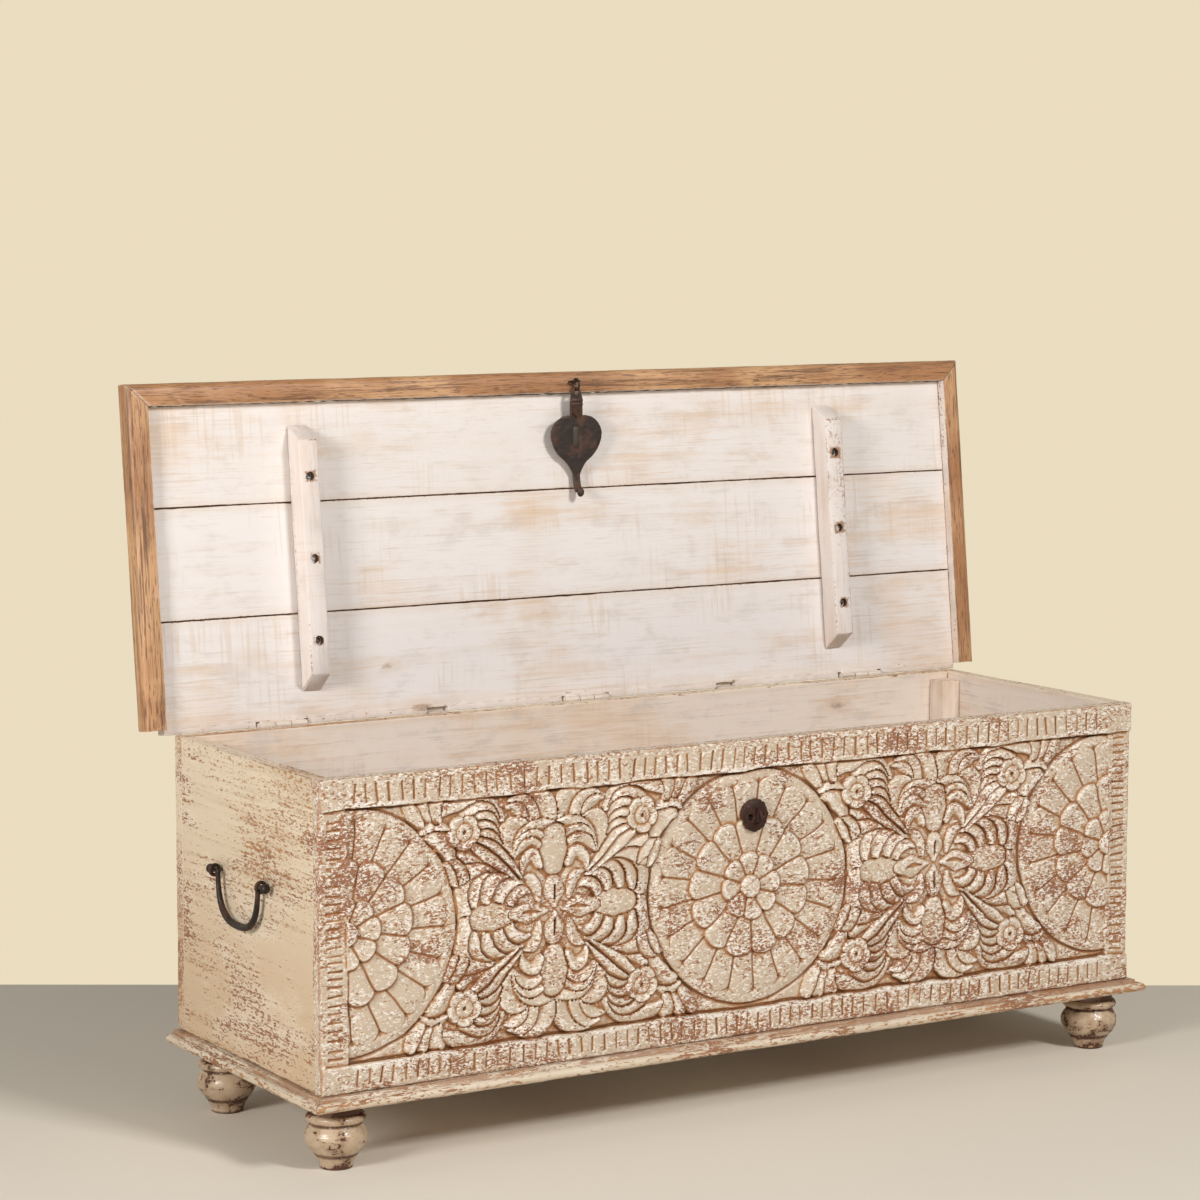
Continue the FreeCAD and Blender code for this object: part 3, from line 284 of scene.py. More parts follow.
@dataclass(frozen=True)
class CarvedPaint(Finish):
    """Greige paint over brown wood: white on the crests, partly whiter paint and partly painted highlight;
    glazed in the cuts, with painted shade on the lower slopes and in the deepest cuts; flaked away in
    patches.
    """

    paint: tuple = (0.56, 0.455, 0.345)
    shade: tuple = (0.53, 0.395, 0.265)
    # White paint for flakes, also laid on the crests as a painted highlight.
    white: tuple = (0.86, 0.805, 0.74)
    # Brown glazing colour, also laid as painted shade on the lower slopes of the carving.
    glaze: tuple = (0.36, 0.158, 0.050)
    bare: tuple = (0.36, 0.130, 0.036)
    rust: tuple = (0.22, 0.070, 0.018)
    # Near-black colour of the painted shade in the deepest cuts.
    dark: tuple = (0.125, 0.048, 0.016)

    def build(self, graph: Graph, turn: Sequence[float]) -> bpy.types.Material:
        """Lay the paint by the depth of the carving.

        Args:
            graph: Empty material.
            turn: Turn of the grain.

        Returns:
            The material.
        """
        flat = graph.place((0.62, 1, 1), turn)
        cloud = graph.noise(flat, 8.0, 3.0, 0.55)
        patch = graph.noise(flat, 26.0, 4.0, 0.65)
        streaks = graph.place((0.48, 1, 1), turn)
        dash = graph.noise(streaks, 430.0, 3.0, 0.62, 0.6)
        lime = graph.noise(graph.place((0.55, 1, 1), turn, (3, 5, 7)), 360.0, 4.0, 0.66, 0.6)
        flake = graph.noise(flat, 240.0, 4.0, 0.68, 0.6)
        fine = graph.noise(graph.place(turn=turn), 700.0, 2.0, 0.6)
        hollow = graph.attribute("cavity")
        swell = graph.attribute("swell")
        lean = graph.attribute("lean").step(0.15, 1.2)
        tone = graph.mix((cloud * 0.6 + patch * 0.4).step(0.42, 0.60) * 0.8, self.paint, self.shade)
        chalk = lime + (patch - 0.5) * 0.35 + (cloud - 0.5) * 0.25 + swell * 0.022
        tone = graph.mix(chalk.step(0.505, 0.565) * 0.85, tone, self.white)
        # White on the crests where the swell stands out: partly whiter paint, partly a painted highlight.
        crest = (swell * 0.55 + (flake - 0.5) * 2.6 + (patch - 0.5) * 2.6).step(0.50, 1.25)
        tone = graph.mix(crest * 0.55, tone, self.white)
        # Brown glazing left in the cuts, plus painted shade on the lower, downward-facing slopes through the
        # lean attribute.
        broad = (swell * 0.16 + hollow * 1.10 + (flake - 0.5) * 1.2 + (patch - 0.5) * 1.4 - lean * 1.40)
        broad = broad.step(-0.20, -0.80)
        tone = graph.mix(broad * 0.92, tone, self.glaze)
        # Painted shade: near black in the deepest cuts and on the lower, downward-facing slopes.
        deep_shade = (hollow + (fine - 0.5) * 0.6 + (patch - 0.5) * 1.2 - lean * 0.70).step(-0.60, -1.40)
        tone = graph.mix(deep_shade * 0.80, tone, self.dark)
        worn = dash * 0.75 + flake * 0.25 + (patch - 0.5) * 0.52 + (cloud - 0.5) * 0.22
        worn = worn + graph.attribute("edge_mm").step(42.0, 26.0) * 0.010
        bare = (worn + (fine - 0.5) * 0.05).step(0.548, 0.575)
        tone = graph.mix(bare * 0.92, tone, graph.mix((patch * 0.5 + fine * 0.5).step(0.47, 0.60), self.bare,
                                                      self.rust))
        rim = (graph.attribute("edge_mm") + (flake - 0.5) * 5.0 + (patch - 0.5) * 8.0).step(0.9, 0.1)
        tone = graph.mix(rim * 0.6, tone, self.bare)
        rough = 0.34 + bare * 0.28 + broad * 0.12 + fine * 0.12
        height = 1.0 - bare * 0.65 + flake * 0.35 + fine * 0.15
        return graph.surface(Base_Color=tone, Roughness=rough, Coat_Weight=0.08, Coat_Roughness=0.22,
                             Normal=graph.bump(height, 0.7, 0.0007))


@dataclass(frozen=True)
class CreamPaint(Finish):
    """Ivory paint with clusters of rust-brown flecks along the grain, and rubbed edges."""

    high: tuple = (0.73, 0.61, 0.46)
    low: tuple = (0.60, 0.445, 0.29)
    pale: tuple = (0.86, 0.77, 0.64)
    fleck: tuple = (0.25, 0.088, 0.026)
    rust: tuple = (0.40, 0.18, 0.06)
    top_z: float = 0.437
    fall: float = 0.34
    flecks: float = 0.0
    spread: float = 400.0
    rub: float = 0.9

    def build(self, graph: Graph, turn: Sequence[float]) -> bpy.types.Material:
        """Lay the paint, its flecks and its wear.

        Args:
            graph: Empty material.
            turn: Turn of the grain.

        Returns:
            The material.
        """
        flat = graph.place((0.5, 1, 1), turn)
        cloud = graph.noise(flat, 5.5, 3.0, 0.55)
        patch = graph.noise(flat, 17.0, 3.0, 0.6)
        speck = graph.noise(graph.place((0.32, 1, 1), turn), self.spread, 4.0, 0.70, 0.4)
        rows = graph.grain((6, 260, 260), turn, 2.0, 0.6)
        grain = graph.grain((8, 150, 150), turn, 4.0, 0.6, 0.2)
        # Paint darker towards the bottom: the high tone at top_z fades to the low tone over the fall below
        # it.
        height = graph.node("ShaderNodeSeparateXYZ", None, graph.node("ShaderNodeTexCoord", out="Object"),
                            out="Z")
        tone = graph.mix(height.step(self.top_z, self.top_z - self.fall), self.high, self.low)
        tone = graph.mix((grain * 0.5 + cloud * 0.5).step(0.46, 0.60) * 0.40, tone,
                         [v * 0.80 for v in self.low])
        tone = graph.mix((speck * 0.4 + patch * 0.6).step(0.48, 0.60) * 0.45, tone, self.pale)
        edge = graph.attribute("edge_mm")
        near = (edge + (patch - 0.5) * 50.0).step(46.0, 4.0) * 0.034
        worn = speck + (patch - 0.5) * 0.48 + (cloud - 0.5) * 0.48 + (grain - 0.5) * 0.20 + near
        worn = worn + (rows - 0.5) * 0.30
        marks = (worn + self.flecks).step(0.563, 0.587)
        tone = graph.mix(marks * 0.92, tone, graph.mix(patch.step(0.45, 0.6), self.rust, self.fleck))
        bare = (edge + (speck - 0.5) * 7.0 + (patch - 0.5) * 9.0).step(self.rub, 0.1)
        tone = graph.mix(bare * 0.7, tone, self.fleck)
        rough = 0.42 + speck * 0.16 + marks * 0.2
        relief = 1.0 - marks * 0.7 - bare * 0.2 + grain * 0.35
        return graph.surface(Base_Color=tone, Roughness=rough, Coat_Weight=0.10, Coat_Roughness=0.26,
                             Normal=graph.bump(relief, 0.5, 0.0006))


@dataclass(frozen=True)
class FootPaint(Finish):
    """Glossy cream paint on dark turned wood, chipped; its tones darkened as painted shade from the chest
    above, and the turned grooves darkened by dirt and painted shade.
    """

    # The light and middle tones are darkened to stand in for the chest's shade over the feet: painted shade
    # in the paint colour.
    light: tuple = (0.50, 0.375, 0.255)
    middle: tuple = (0.31, 0.190, 0.108)
    # Colour of the groove darkening: dirt and painted shade.
    grime: tuple = (0.12, 0.050, 0.020)
    dark: tuple = (0.070, 0.022, 0.008)

    def build(self, graph: Graph, turn: Sequence[float]) -> bpy.types.Material:
        """Lay the chipped paint.

        Args:
            graph: Empty material.
            turn: Turn of the grain; not used.

        Returns:
            The material.
        """
        spot = graph.place()
        cloud = graph.noise(spot, 26.0, 3.0, 0.6, 0.4)
        level = graph.noise(graph.place((22, 22, 70)), 1.0, 4.0, 0.62, 0.5)
        speck = graph.noise(spot, 300.0, 3.0, 0.66)
        hollow = graph.attribute("cavity")
        tone = graph.mix((cloud * 0.6 + level * 0.4).step(0.42, 0.60), self.light, self.middle)
        # Turned grooves darkened: dirt, plus painted shade where the grooves sit in shadow.
        grime = (hollow + (level - 0.5) * 1.4 + (speck - 0.5) * 0.8).step(-0.05, -0.70)
        tone = graph.mix(grime * 0.90, tone, self.grime)
        chips = (cloud * 0.34 + level * 0.36 + speck * 0.30 - hollow * 0.06).step(0.528, 0.552)
        tone = graph.mix(chips, tone, self.dark)
        rough = 0.30 + chips * 0.28 + speck * 0.14
        return graph.surface(Base_Color=tone, Roughness=rough, Coat_Weight=0.22 - chips * 0.2,
                             Coat_Roughness=0.12,
                             Normal=graph.bump(1.0 - chips * 0.9 + level * 0.2, 0.8, 0.0007))


@dataclass(frozen=True)
class Whitewash(Finish):
    """Thin white wash over sawn wood: tan grain, saw ticks, knots and rubbed brown edges."""

    wash: tuple = (0.81, 0.765, 0.745)
    grey: tuple = (0.60, 0.555, 0.53)
    tan: tuple = (0.66, 0.50, 0.365)
    pink: tuple = (0.76, 0.64, 0.555)
    stain: tuple = (0.74, 0.53, 0.345)
    knot: tuple = (0.30, 0.19, 0.125)
    bare: tuple = (0.33, 0.165, 0.080)
    figure: float = 0.62
    smoke: float = 0.34
    ticks: float = 0.34
    rub: float = 0.6
    chips: float = 3.0

    def build(self, graph: Graph, turn: Sequence[float]) -> bpy.types.Material:
        """Lay the wash over the grain.

        Args:
            graph: Empty material.
            turn: Turn of the grain.

        Returns:
            The material.
        """
        spot = graph.place(turn=turn)
        cloud = graph.noise(spot, 6.0, 3.0, 0.5)
        speck = graph.noise(spot, 240.0, 3.0, 0.6)
        grain = graph.grain((1.8, 42, 42), turn, 5.0, 0.62, 0.9)
        fine = graph.grain((11, 330, 330), turn, 3.0, 0.6)
        saw = graph.grain((210, 9, 9), turn, 2.0, 0.5)
        knots = graph.cells(graph.place((5.5, 14, 14), turn), 1.0)
        rare = graph.noise(spot, 5.0, 0.0).step(0.54, 0.56)
        eye = (knots + (fine - 0.5) * 0.06 + (speck - 0.5) * 0.06).step(0.10, 0.04) * rare
        halo = (knots + (grain - 0.5) * 0.20 + (fine - 0.5) * 0.10).step(0.24, 0.08) * rare
        mottle = graph.noise(graph.place((0.6, 1, 1), turn), 34.0, 5.0, 0.66, 0.3)
        thin = 0.35 + cloud.step(0.42, 0.60) * 0.65
        shown = (grain * 0.6 + mottle * 0.4).step(0.46, 0.66) * thin * self.figure
        tone = graph.mix(shown, self.wash, self.tan)
        tone = graph.mix(cloud.step(0.50, 0.68) * 0.5, tone, self.pink)
        tone = graph.mix((mottle * 0.6 + fine * 0.4).step(0.52, 0.62) * self.smoke, tone, self.grey)
        tone = graph.mix((fine * 0.7 + cloud * 0.3).step(0.53, 0.66) * 0.40, tone, self.tan)
        sawn = graph.noise(spot, 11.0, 2.0, 0.5).step(0.50, 0.66)
        tone = graph.mix(saw.step(0.52, 0.64) * sawn * self.ticks, tone, self.tan)
        fibre = graph.grain((26, 700, 700), turn, 3.0, 0.7)
        tone = graph.mix((fibre + (cloud - 0.5) * 0.3).step(0.56, 0.70) * 0.42, tone, self.tan)
        stain = (grain * 0.5 + cloud * 0.5).step(0.53, 0.68)
        tone = graph.mix(stain * 0.40, tone, self.stain)
        tone = graph.mix(halo * 0.35, tone, self.tan)
        tone = graph.mix(eye * 0.75, tone, self.knot)
        edge = graph.attribute("edge_mm")
        dirt = (edge + (speck - 0.5) * 10.0 + (cloud - 0.5) * 14.0).step(12.0, 0.0) * 0.25
        tone = graph.mix(dirt, tone, self.tan)
        bare = (edge + (speck - 0.5) * 4.0 + (grain - 0.5) * self.chips).step(self.rub, 0.1) * 0.9
        tone = graph.mix(bare, tone, self.bare)
        return graph.surface(Base_Color=tone, Roughness=0.62 + speck * 0.2, Specular_IOR_Level=0.4,
                             Normal=graph.bump(fine * 0.5 + saw * 0.3 + grain * 0.3 - eye * 0.3,
                                               0.55, 0.0008))


@dataclass(frozen=True)
class OiledWood(Finish):
    """Warm brown oiled wood with dark streaks, worn paler on its edges."""

    wood: tuple = (0.40, 0.188, 0.080)
    gold: tuple = (0.60, 0.340, 0.170)
    streak: tuple = (0.105, 0.042, 0.019)
    rubbed: tuple = (0.64, 0.45, 0.31)
    gloss: float = 0.36

    def build(self, graph: Graph, turn: Sequence[float]) -> bpy.types.Material:
        """Lay the grain and the oil.

        Args:
            graph: Empty material.
            turn: Turn of the grain.

        Returns:
            The material.
        """
        spot = graph.place(turn=turn)
        cloud = graph.noise(spot, 8.0, 3.0, 0.5)
        speck = graph.noise(spot, 200.0, 3.0, 0.6)
        grain = graph.grain((3, 78, 78), turn, 5.0, 0.66, 1.6)
        pores = graph.grain((60, 620, 620), turn, 2.0, 0.5)
        tone = graph.mix(cloud.step(0.38, 0.64), self.wood, self.gold)
        tone = graph.mix(grain.step(0.48, 0.66) * 0.85, tone, self.streak)
        lines = graph.grain((6, 240, 240), turn, 4.0, 0.70, 2.0)
        tone = graph.mix(lines.step(0.53, 0.64) * 0.75, tone, self.streak)
        tone = graph.mix(pores.step(0.56, 0.68) * 0.7, tone, self.streak)
        edge = (graph.attribute("edge_mm") + (speck - 0.5) * 3.0).step(2.4, 0.2)
        tone = graph.mix(edge * 0.45, tone, self.rubbed)
        rough = self.gloss + speck * 0.16 + pores * 0.1
        return graph.surface(Base_Color=tone, Roughness=rough, Coat_Weight=0.15, Coat_Roughness=0.3,
                             Normal=graph.bump(1.0 - pores * 0.7 - grain * 0.3, 0.4, 0.0006))


@dataclass(frozen=True)
class ForgedIron(Finish):
    """Dark forged iron with scale, rust in patches and edges rubbed bright; hollows painted near black as
    painted shade.
    """

    scale: tuple = (0.024, 0.0175, 0.0155)
    rust: tuple = (0.085, 0.034, 0.019)
    bright: tuple = (0.20, 0.17, 0.15)
    # Near-black painted shade for the floors of hollows, standing in for dark holes.
    hollow: tuple = (0.004, 0.003, 0.003)
    metal: float = 0.45
    rough: float = 0.42
    sheen: float = 0.4

    def build(self, graph: Graph, turn: Sequence[float]) -> bpy.types.Material:
        """Lay scale, rust and rub.

        Args:
            graph: Empty material.
            turn: Turn of the grain; not used.

        Returns:
            The material.
        """
        spot = graph.place()
        cloud = graph.noise(spot, 42.0, 4.0, 0.6)
        pit = graph.noise(spot, 420.0, 3.0, 0.6)
        dents = graph.cells(spot, 140.0, "SMOOTH_F1")
        rusty = (cloud * 0.7 + pit * 0.3).step(0.49, 0.63)
        tone = graph.mix(rusty * 0.8, self.scale, self.rust)
        rub = (graph.attribute("edge_mm") + (pit - 0.5) * 2.0).step(1.3, 0.1) * (1.0 - rusty) * 0.55
        tone = graph.mix(rub, tone, self.bright)
        # Painted shade: the cavity attribute paints hollows near black.
        tone = graph.mix(graph.attribute("cavity").step(-0.15, -0.7), tone, self.hollow)
        return graph.surface(Base_Color=tone, Metallic=self.metal * (1.0 - rusty * 0.8),
                             Roughness=self.rough + rusty * 0.28, Specular_IOR_Level=self.sheen,
                             Normal=graph.bump(dents * 0.7 + pit * 0.3, 0.8, 0.0012))


@dataclass(frozen=True)
class ScrewSteel(Finish):
    """Dull screw steel with turning lines and specks of rust."""

    steel: tuple = (0.30, 0.28, 0.265)
    rust: tuple = (0.19, 0.082, 0.036)

    def build(self, graph: Graph, turn: Sequence[float]) -> bpy.types.Material:
        """Lay the steel and its rust.

        Args:
            graph: Empty material.
            turn: Turn of the grain; not used.

        Returns:
            The material.
        """
        spot = graph.place()
        cloud = graph.noise(spot, 160.0, 4.0, 0.6)
        lines = graph.noise(graph.place((900, 900, 60)), 1.0, 2.0, 0.5)
        rusty = cloud.step(0.52, 0.66)
        tone = graph.mix(rusty * 0.85, self.steel, self.rust)
        return graph.surface(Base_Color=tone, Metallic=0.9 - rusty * 0.7, Roughness=0.34 + rusty * 0.36,
                             Normal=graph.bump(lines * 0.5 + cloud * 0.5, 0.35, 0.0004))


CARVED = CarvedPaint()
CREAM = CreamPaint()
BASE = CreamPaint(high=(0.68, 0.60, 0.48), low=(0.62, 0.51, 0.38), top_z=0.089, fall=0.014, flecks=0.012,
                  spread=300.0, rub=1.0)
FEET = FootPaint()
WASH = Whitewash()
WASH_BAR = Whitewash(wash=(0.82, 0.775, 0.755), tan=(0.70, 0.555, 0.46), pink=(0.76, 0.655, 0.61), rub=1.5,
                     chips=6.0)
WASH_BODY = Whitewash(wash=(0.80, 0.705, 0.62), tan=(0.63, 0.455, 0.315), pink=(0.78, 0.60, 0.46),
                      ticks=0.2, rub=0.9, figure=0.75, smoke=0.6)
MOULDING = OiledWood()
BARE = OiledWood(wood=(0.36, 0.21, 0.115), gold=(0.47, 0.295, 0.175), streak=(0.19, 0.085, 0.038),
                 rubbed=(0.52, 0.36, 0.23), gloss=0.55)
IRON = ForgedIron()
RUSTY_IRON = ForgedIron(scale=(0.026, 0.0095, 0.006), rust=(0.085, 0.024, 0.011),
                        bright=(0.12, 0.045, 0.028), metal=0.0, rough=0.5, sheen=0.25)
HASP_IRON = ForgedIron(scale=(0.030, 0.021, 0.020), rust=(0.090, 0.036, 0.020), bright=(0.13, 0.060, 0.032),
                       metal=0.25)
PAINTED_IRON = ForgedIron(scale=(0.74, 0.68, 0.62), rust=(0.66, 0.56, 0.46), bright=(0.60, 0.48, 0.38),
                          metal=0.0)
# Near-black wood for the screw wells: bare wood darkened as painted shade inside the wells.
WELL_WOOD_AND_SHADE = OiledWood(wood=(0.085, 0.045, 0.026), gold=(0.13, 0.075, 0.045), streak=(0.03, 0.015, 0.01),
                 rubbed=(0.17, 0.10, 0.065), gloss=0.6)
STEEL = ScrewSteel()


# Shaping of timber and iron
WAVES = 9
WAVE_PEAK = 3.2
FAR_AWAY = 99.0


def ripple(points: np.ndarray, cell: float, seed: int) -> np.ndarray:
    """A smooth random value from about -1 to 1 over space.

    Args:
        points: Places, one row each, in metres.
        cell: Size of one swell, in millimetres.
        seed: Choice of the pattern.

    Returns:
        One value for each place.
    """
    rng = np.random.default_rng(seed)
    total = np.zeros(len(points))
    for _ in range(WAVES):
        way = rng.normal(size=3)
        way *= rng.uniform(0.6, 1.7) * 2 * math.pi / (np.linalg.norm(way) * cell * MM)
        total += np.sin(points @ way + rng.uniform(0, 2 * math.pi))
    return np.clip(total / WAVE_PEAK, -1, 1)


def segment_distance(points: np.ndarray, segments: np.ndarray) -> np.ndarray:
    """Distance from each point to the nearest segment.

    Args:
        points: Places, one row each.
        segments: Segments as (count, 2, 3).

    Returns:
        One distance for each point, in millimetres, FAR_AWAY at most.
    """
    best = np.full(len(points), FAR_AWAY * MM)
    for start, end in segments:
        way = end - start
        share = np.clip((points - start) @ way / max(way @ way, 1e-12), 0, 1)
        best = np.minimum(best, np.linalg.norm(points - start - share[:, None] * way, axis=1))
    return best / MM


def store(mesh: bpy.types.Mesh, name: str, values: Union[float, np.ndarray]) -> None:
    """Keep one number for each vertex on a mesh."""
    layer = mesh.attributes.new(name, "FLOAT", "POINT")
    spread = np.broadcast_to(np.asarray(values, dtype=np.float32), (len(mesh.vertices),))
    layer.data.foreach_set("value", spread.copy())


def kind_of(geometry: Sequence, kind: type) -> list:
    """The vertices, the edges or the faces among an operator's results."""
    return [element for element in geometry if isinstance(element, kind)]


def cut_plane(shape: bmesh.types.BMesh, place: Sequence[float], way: Sequence[float],
              clear: bool = False) -> None:
    """Cut a shape along a plane.

    Args:
        shape: The shape.
        place: A point of the plane.
        way: Its normal.
        clear: Drop what lies beyond the plane and close the cut.
    """
    whole = [*shape.verts, *shape.edges, *shape.faces]
    bmesh.ops.bisect_plane(shape, geom=whole, dist=1e-7, plane_co=place, plane_no=way, clear_outer=clear)
    if clear:
        bmesh.ops.contextual_create(shape, geom=[e for e in shape.edges if e.is_boundary])


def enter(mesh: bpy.types.Mesh, body: Body, nodes: Sequence[str],
          sharp: float) -> bpy.types.Object:
    """Bring a finished mesh into the scene as a piece.

    Args:
        mesh: The mesh, whose name becomes the piece's.
        body: Body that it rides on.
        nodes: CAD nodes that it stands for.
        sharp: Angle above which an edge stays sharp, in degrees.

    Returns:
        The piece.
    """
    mesh.shade_smooth()
    mesh.set_sharp_from_angle(angle=math.radians(sharp))
    piece = bpy.data.objects.new(mesh.name, mesh)
    bpy.context.scene.collection.objects.link(piece)
    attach(piece, body.value)
    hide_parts(*nodes)
    LOG.info("%s: %d faces, rides on %s", piece.name, len(mesh.polygons), body.value)
    return piece


@dataclass
class Wear:
    """How far handling and tools have moved a surface, in millimetres."""

    wave: float = 0.25
    swell: float = 90.0
    nick: float = 0.5
    bite: float = 9.0
    dent: float = 0.0


@dataclass
class Stock:
    """A piece of timber or iron while it is shaped."""

    name: str
    shape: bmesh.types.BMesh
    creases: np.ndarray = field(default_factory=lambda: np.zeros((0, 2, 3)))

    @classmethod
    def block(cls, name: str, low: Vector, high: Vector) -> "Stock":
        """A squared block.

        Args:
            name: Name of the piece.
            low: Lowest corner.
            high: Highest corner.

        Returns:
            The stock.
        """
        shape = bmesh.new()
        bmesh.ops.create_cube(shape, size=1.0)
        bmesh.ops.scale(shape, vec=high - low, verts=shape.verts)
        bmesh.ops.translate(shape, vec=(low + high) / 2, verts=shape.verts)
        return cls(name, shape)

    @classmethod
    def rail(cls, name: str, section: Sequence[Point], run: tuple[float, float], axis: Axis,
             mitres: tuple[float, float], foot: float) -> "Stock":
        """A moulding whose ends may be mitred.

        Args:
            name: Name of the piece.
            section: Outline as (across, up), in metres.
            run: Start and end along the axis at the foot of the mitres.
            axis: Axis that it runs along, X or Y.
            mitres: How far each end moves along for each unit across.
            foot: Value across at which the run holds.

        Returns:
            The stock.
        """
        shape = bmesh.new()
        ends = []
        for along, slope in zip(run, mitres):
            ring = []
            for across, up in section:
                spot = (along + slope * (across - foot), across, up)
                ring.append(shape.verts.new(spot if axis is Axis.X else (spot[1], spot[0], spot[2])))
            loop = [shape.edges.new((ring[i], ring[(i + 1) % len(ring)])) for i in range(len(ring))]
            shape.faces.new(ring)
            ends += loop
        bmesh.ops.bridge_loops(shape, edges=ends)
        bmesh.ops.recalc_face_normals(shape, faces=shape.faces)
        return cls(name, shape)

    @classmethod
    def turned(cls, name: str, profile: Sequence[Point], at: Vector, axis: Vector,
               steps: int = 48) -> "Stock":
        """A turned piece.

        Args:
            name: Name of the piece.
            profile: Outline as (radius, height), from one end of the axis to the other, in metres.
            at: Place of height 0.
            axis: Direction of the heights.
            steps: Segments of the full turn.

        Returns:
            The stock.
        """
        shape = bmesh.new()
        line = [shape.verts.new((radius, 0, height)) for radius, height in profile]
        edges = [shape.edges.new(pair) for pair in zip(line, line[1:])]
        bmesh.ops.spin(shape, geom=line + edges, cent=(0, 0, 0), axis=(0, 0, 1), angle=math.tau,
                       steps=steps, use_merge=True)
        bmesh.ops.remove_doubles(shape, verts=shape.verts, dist=2e-6)
        bmesh.ops.recalc_face_normals(shape, faces=shape.faces)
        bmesh.ops.transform(shape, matrix=axis.to_track_quat("Z", "Y").to_matrix().to_4x4(),
                            verts=shape.verts)
        bmesh.ops.translate(shape, vec=at, verts=shape.verts)
        return cls(name, shape)

    @classmethod
    def copied(cls, name: str, node: str) -> "Stock":
        """A merged copy of a CAD node, its flat triangles made one face again.

        Args:
            name: Name of the piece.
            node: Name of the node.

        Returns:
            The stock.
        """
        shape = bmesh.new()
        shape.from_mesh(frame["nodes"][node].data)
        bmesh.ops.remove_doubles(shape, verts=shape.verts, dist=5e-6)
        bmesh.ops.dissolve_limit(shape, angle_limit=math.radians(1.0), verts=shape.verts,
                                 edges=shape.edges, use_dissolve_boundaries=False)
        return cls(name, shape)

    def add(self, other: "Stock") -> "Stock":
        """Take another piece's shape and creases into this one."""
        spare = bpy.data.meshes.new("spare")
        other.shape.to_mesh(spare)
        self.shape.from_mesh(spare)
        bpy.data.meshes.remove(spare)
        other.shape.free()
        self.creases = np.concatenate([self.creases, other.creases])
        return self

    def move(self, matrix: Matrix) -> "Stock":
        """Move the shape and its creases."""
        bmesh.ops.transform(self.shape, matrix=matrix, verts=self.shape.verts)
        turned = np.array(matrix.to_3x3())
        self.creases = self.creases @ turned.T + np.array(matrix.translation)
        return self

    def soften(self, width: float, angle: float = 30.0, segments: int = 2) -> "Stock":
        """Note the sharp edges and round them.

        Args:
            width: Width of the rounding, in millimetres.
            angle: Least angle of a sharp edge, in degrees.
            segments: Segments of the rounding.

        Returns:
            This stock.
        """
        self.shape.normal_update()
        sharp = [e for e in self.shape.edges if e.is_manifold and e.calc_face_angle(0) > math.radians(angle)]
        if sharp:
            found = np.array([[v.co[:] for v in e.verts] for e in sharp])
            self.creases = np.concatenate([self.creases, found])
            bmesh.ops.bevel(self.shape, geom=sharp, offset=width * MM, offset_type="OFFSET",
                            segments=segments, profile=0.5, affect="EDGES", clamp_overlap=True,
                            material=-1)
        return self

    def slice(self, axis: Axis, places: Sequence[float]) -> "Stock":
        """Cut new edge loops across an axis.

        Args:
            axis: Axis that the cuts stand across.
            places: Places along it, in metres.

        Returns:
            This stock.
        """
        normal = Vector([float(i == axis) for i in range(3)])
        for place in places:
            cut_plane(self.shape, normal * place, normal)
        return self

    def margins(self, depths: Sequence[float] = (3.0, 9.0)) -> "Stock":
        """Cut loops close inside each face of the stock's box, so that wear can fade there."""
        corners = np.array([v.co[:] for v in self.shape.verts])
        for axis in Axis:
            low, high = corners[:, axis].min(), corners[:, axis].max()
            inside = [d * MM for d in depths if d * MM * 2.4 < high - low]
            self.slice(axis, [low + d for d in inside] + [high - d for d in inside])
        return self

    def divide(self, axis: Axis, pitch: float) -> "Stock":
        """Subdivide the long edges along an axis.

        Args:
            axis: The axis.
            pitch: Length of the new edges, in millimetres.

        Returns:
            This stock.
        """
        least = 4 * pitch * MM
        runs = [e for e in self.shape.edges
                if abs(e.verts[0].co[axis] - e.verts[1].co[axis]) > max(0.9 * e.calc_length(), least)]
        if runs:
            longest = max(e.calc_length() for e in runs)
            bmesh.ops.subdivide_edges(self.shape, edges=runs, cuts=int(longest / (pitch * MM)),
                                      use_grid_fill=True)
        return self

    def wear(self, wear: Wear, seed: int) -> "Stock":
        """Move the surface inward by handling, tools and knocks.

        Args:
            wear: How far.
            seed: Choice of the pattern.

        Returns:
            This stock.
        """
        self.shape.normal_update()
        spots = np.array([v.co[:] for v in self.shape.verts])
        near = np.exp(-(segment_distance(spots, self.creases) / 2.2) ** 2)
        inward = wear.wave * np.clip(1 + ripple(spots, wear.swell, seed), 0, 2) / 2
        inward += wear.nick * near * np.clip(ripple(spots, wear.bite, seed + 1) - 0.35, 0, 1) * 1.6
        inward += wear.dent * np.clip(ripple(spots, wear.bite * 0.7, seed + 2), 0, 1)
        for vert, depth in zip(self.shape.verts, inward):
            vert.co -= vert.normal * float(depth) * MM
        return self

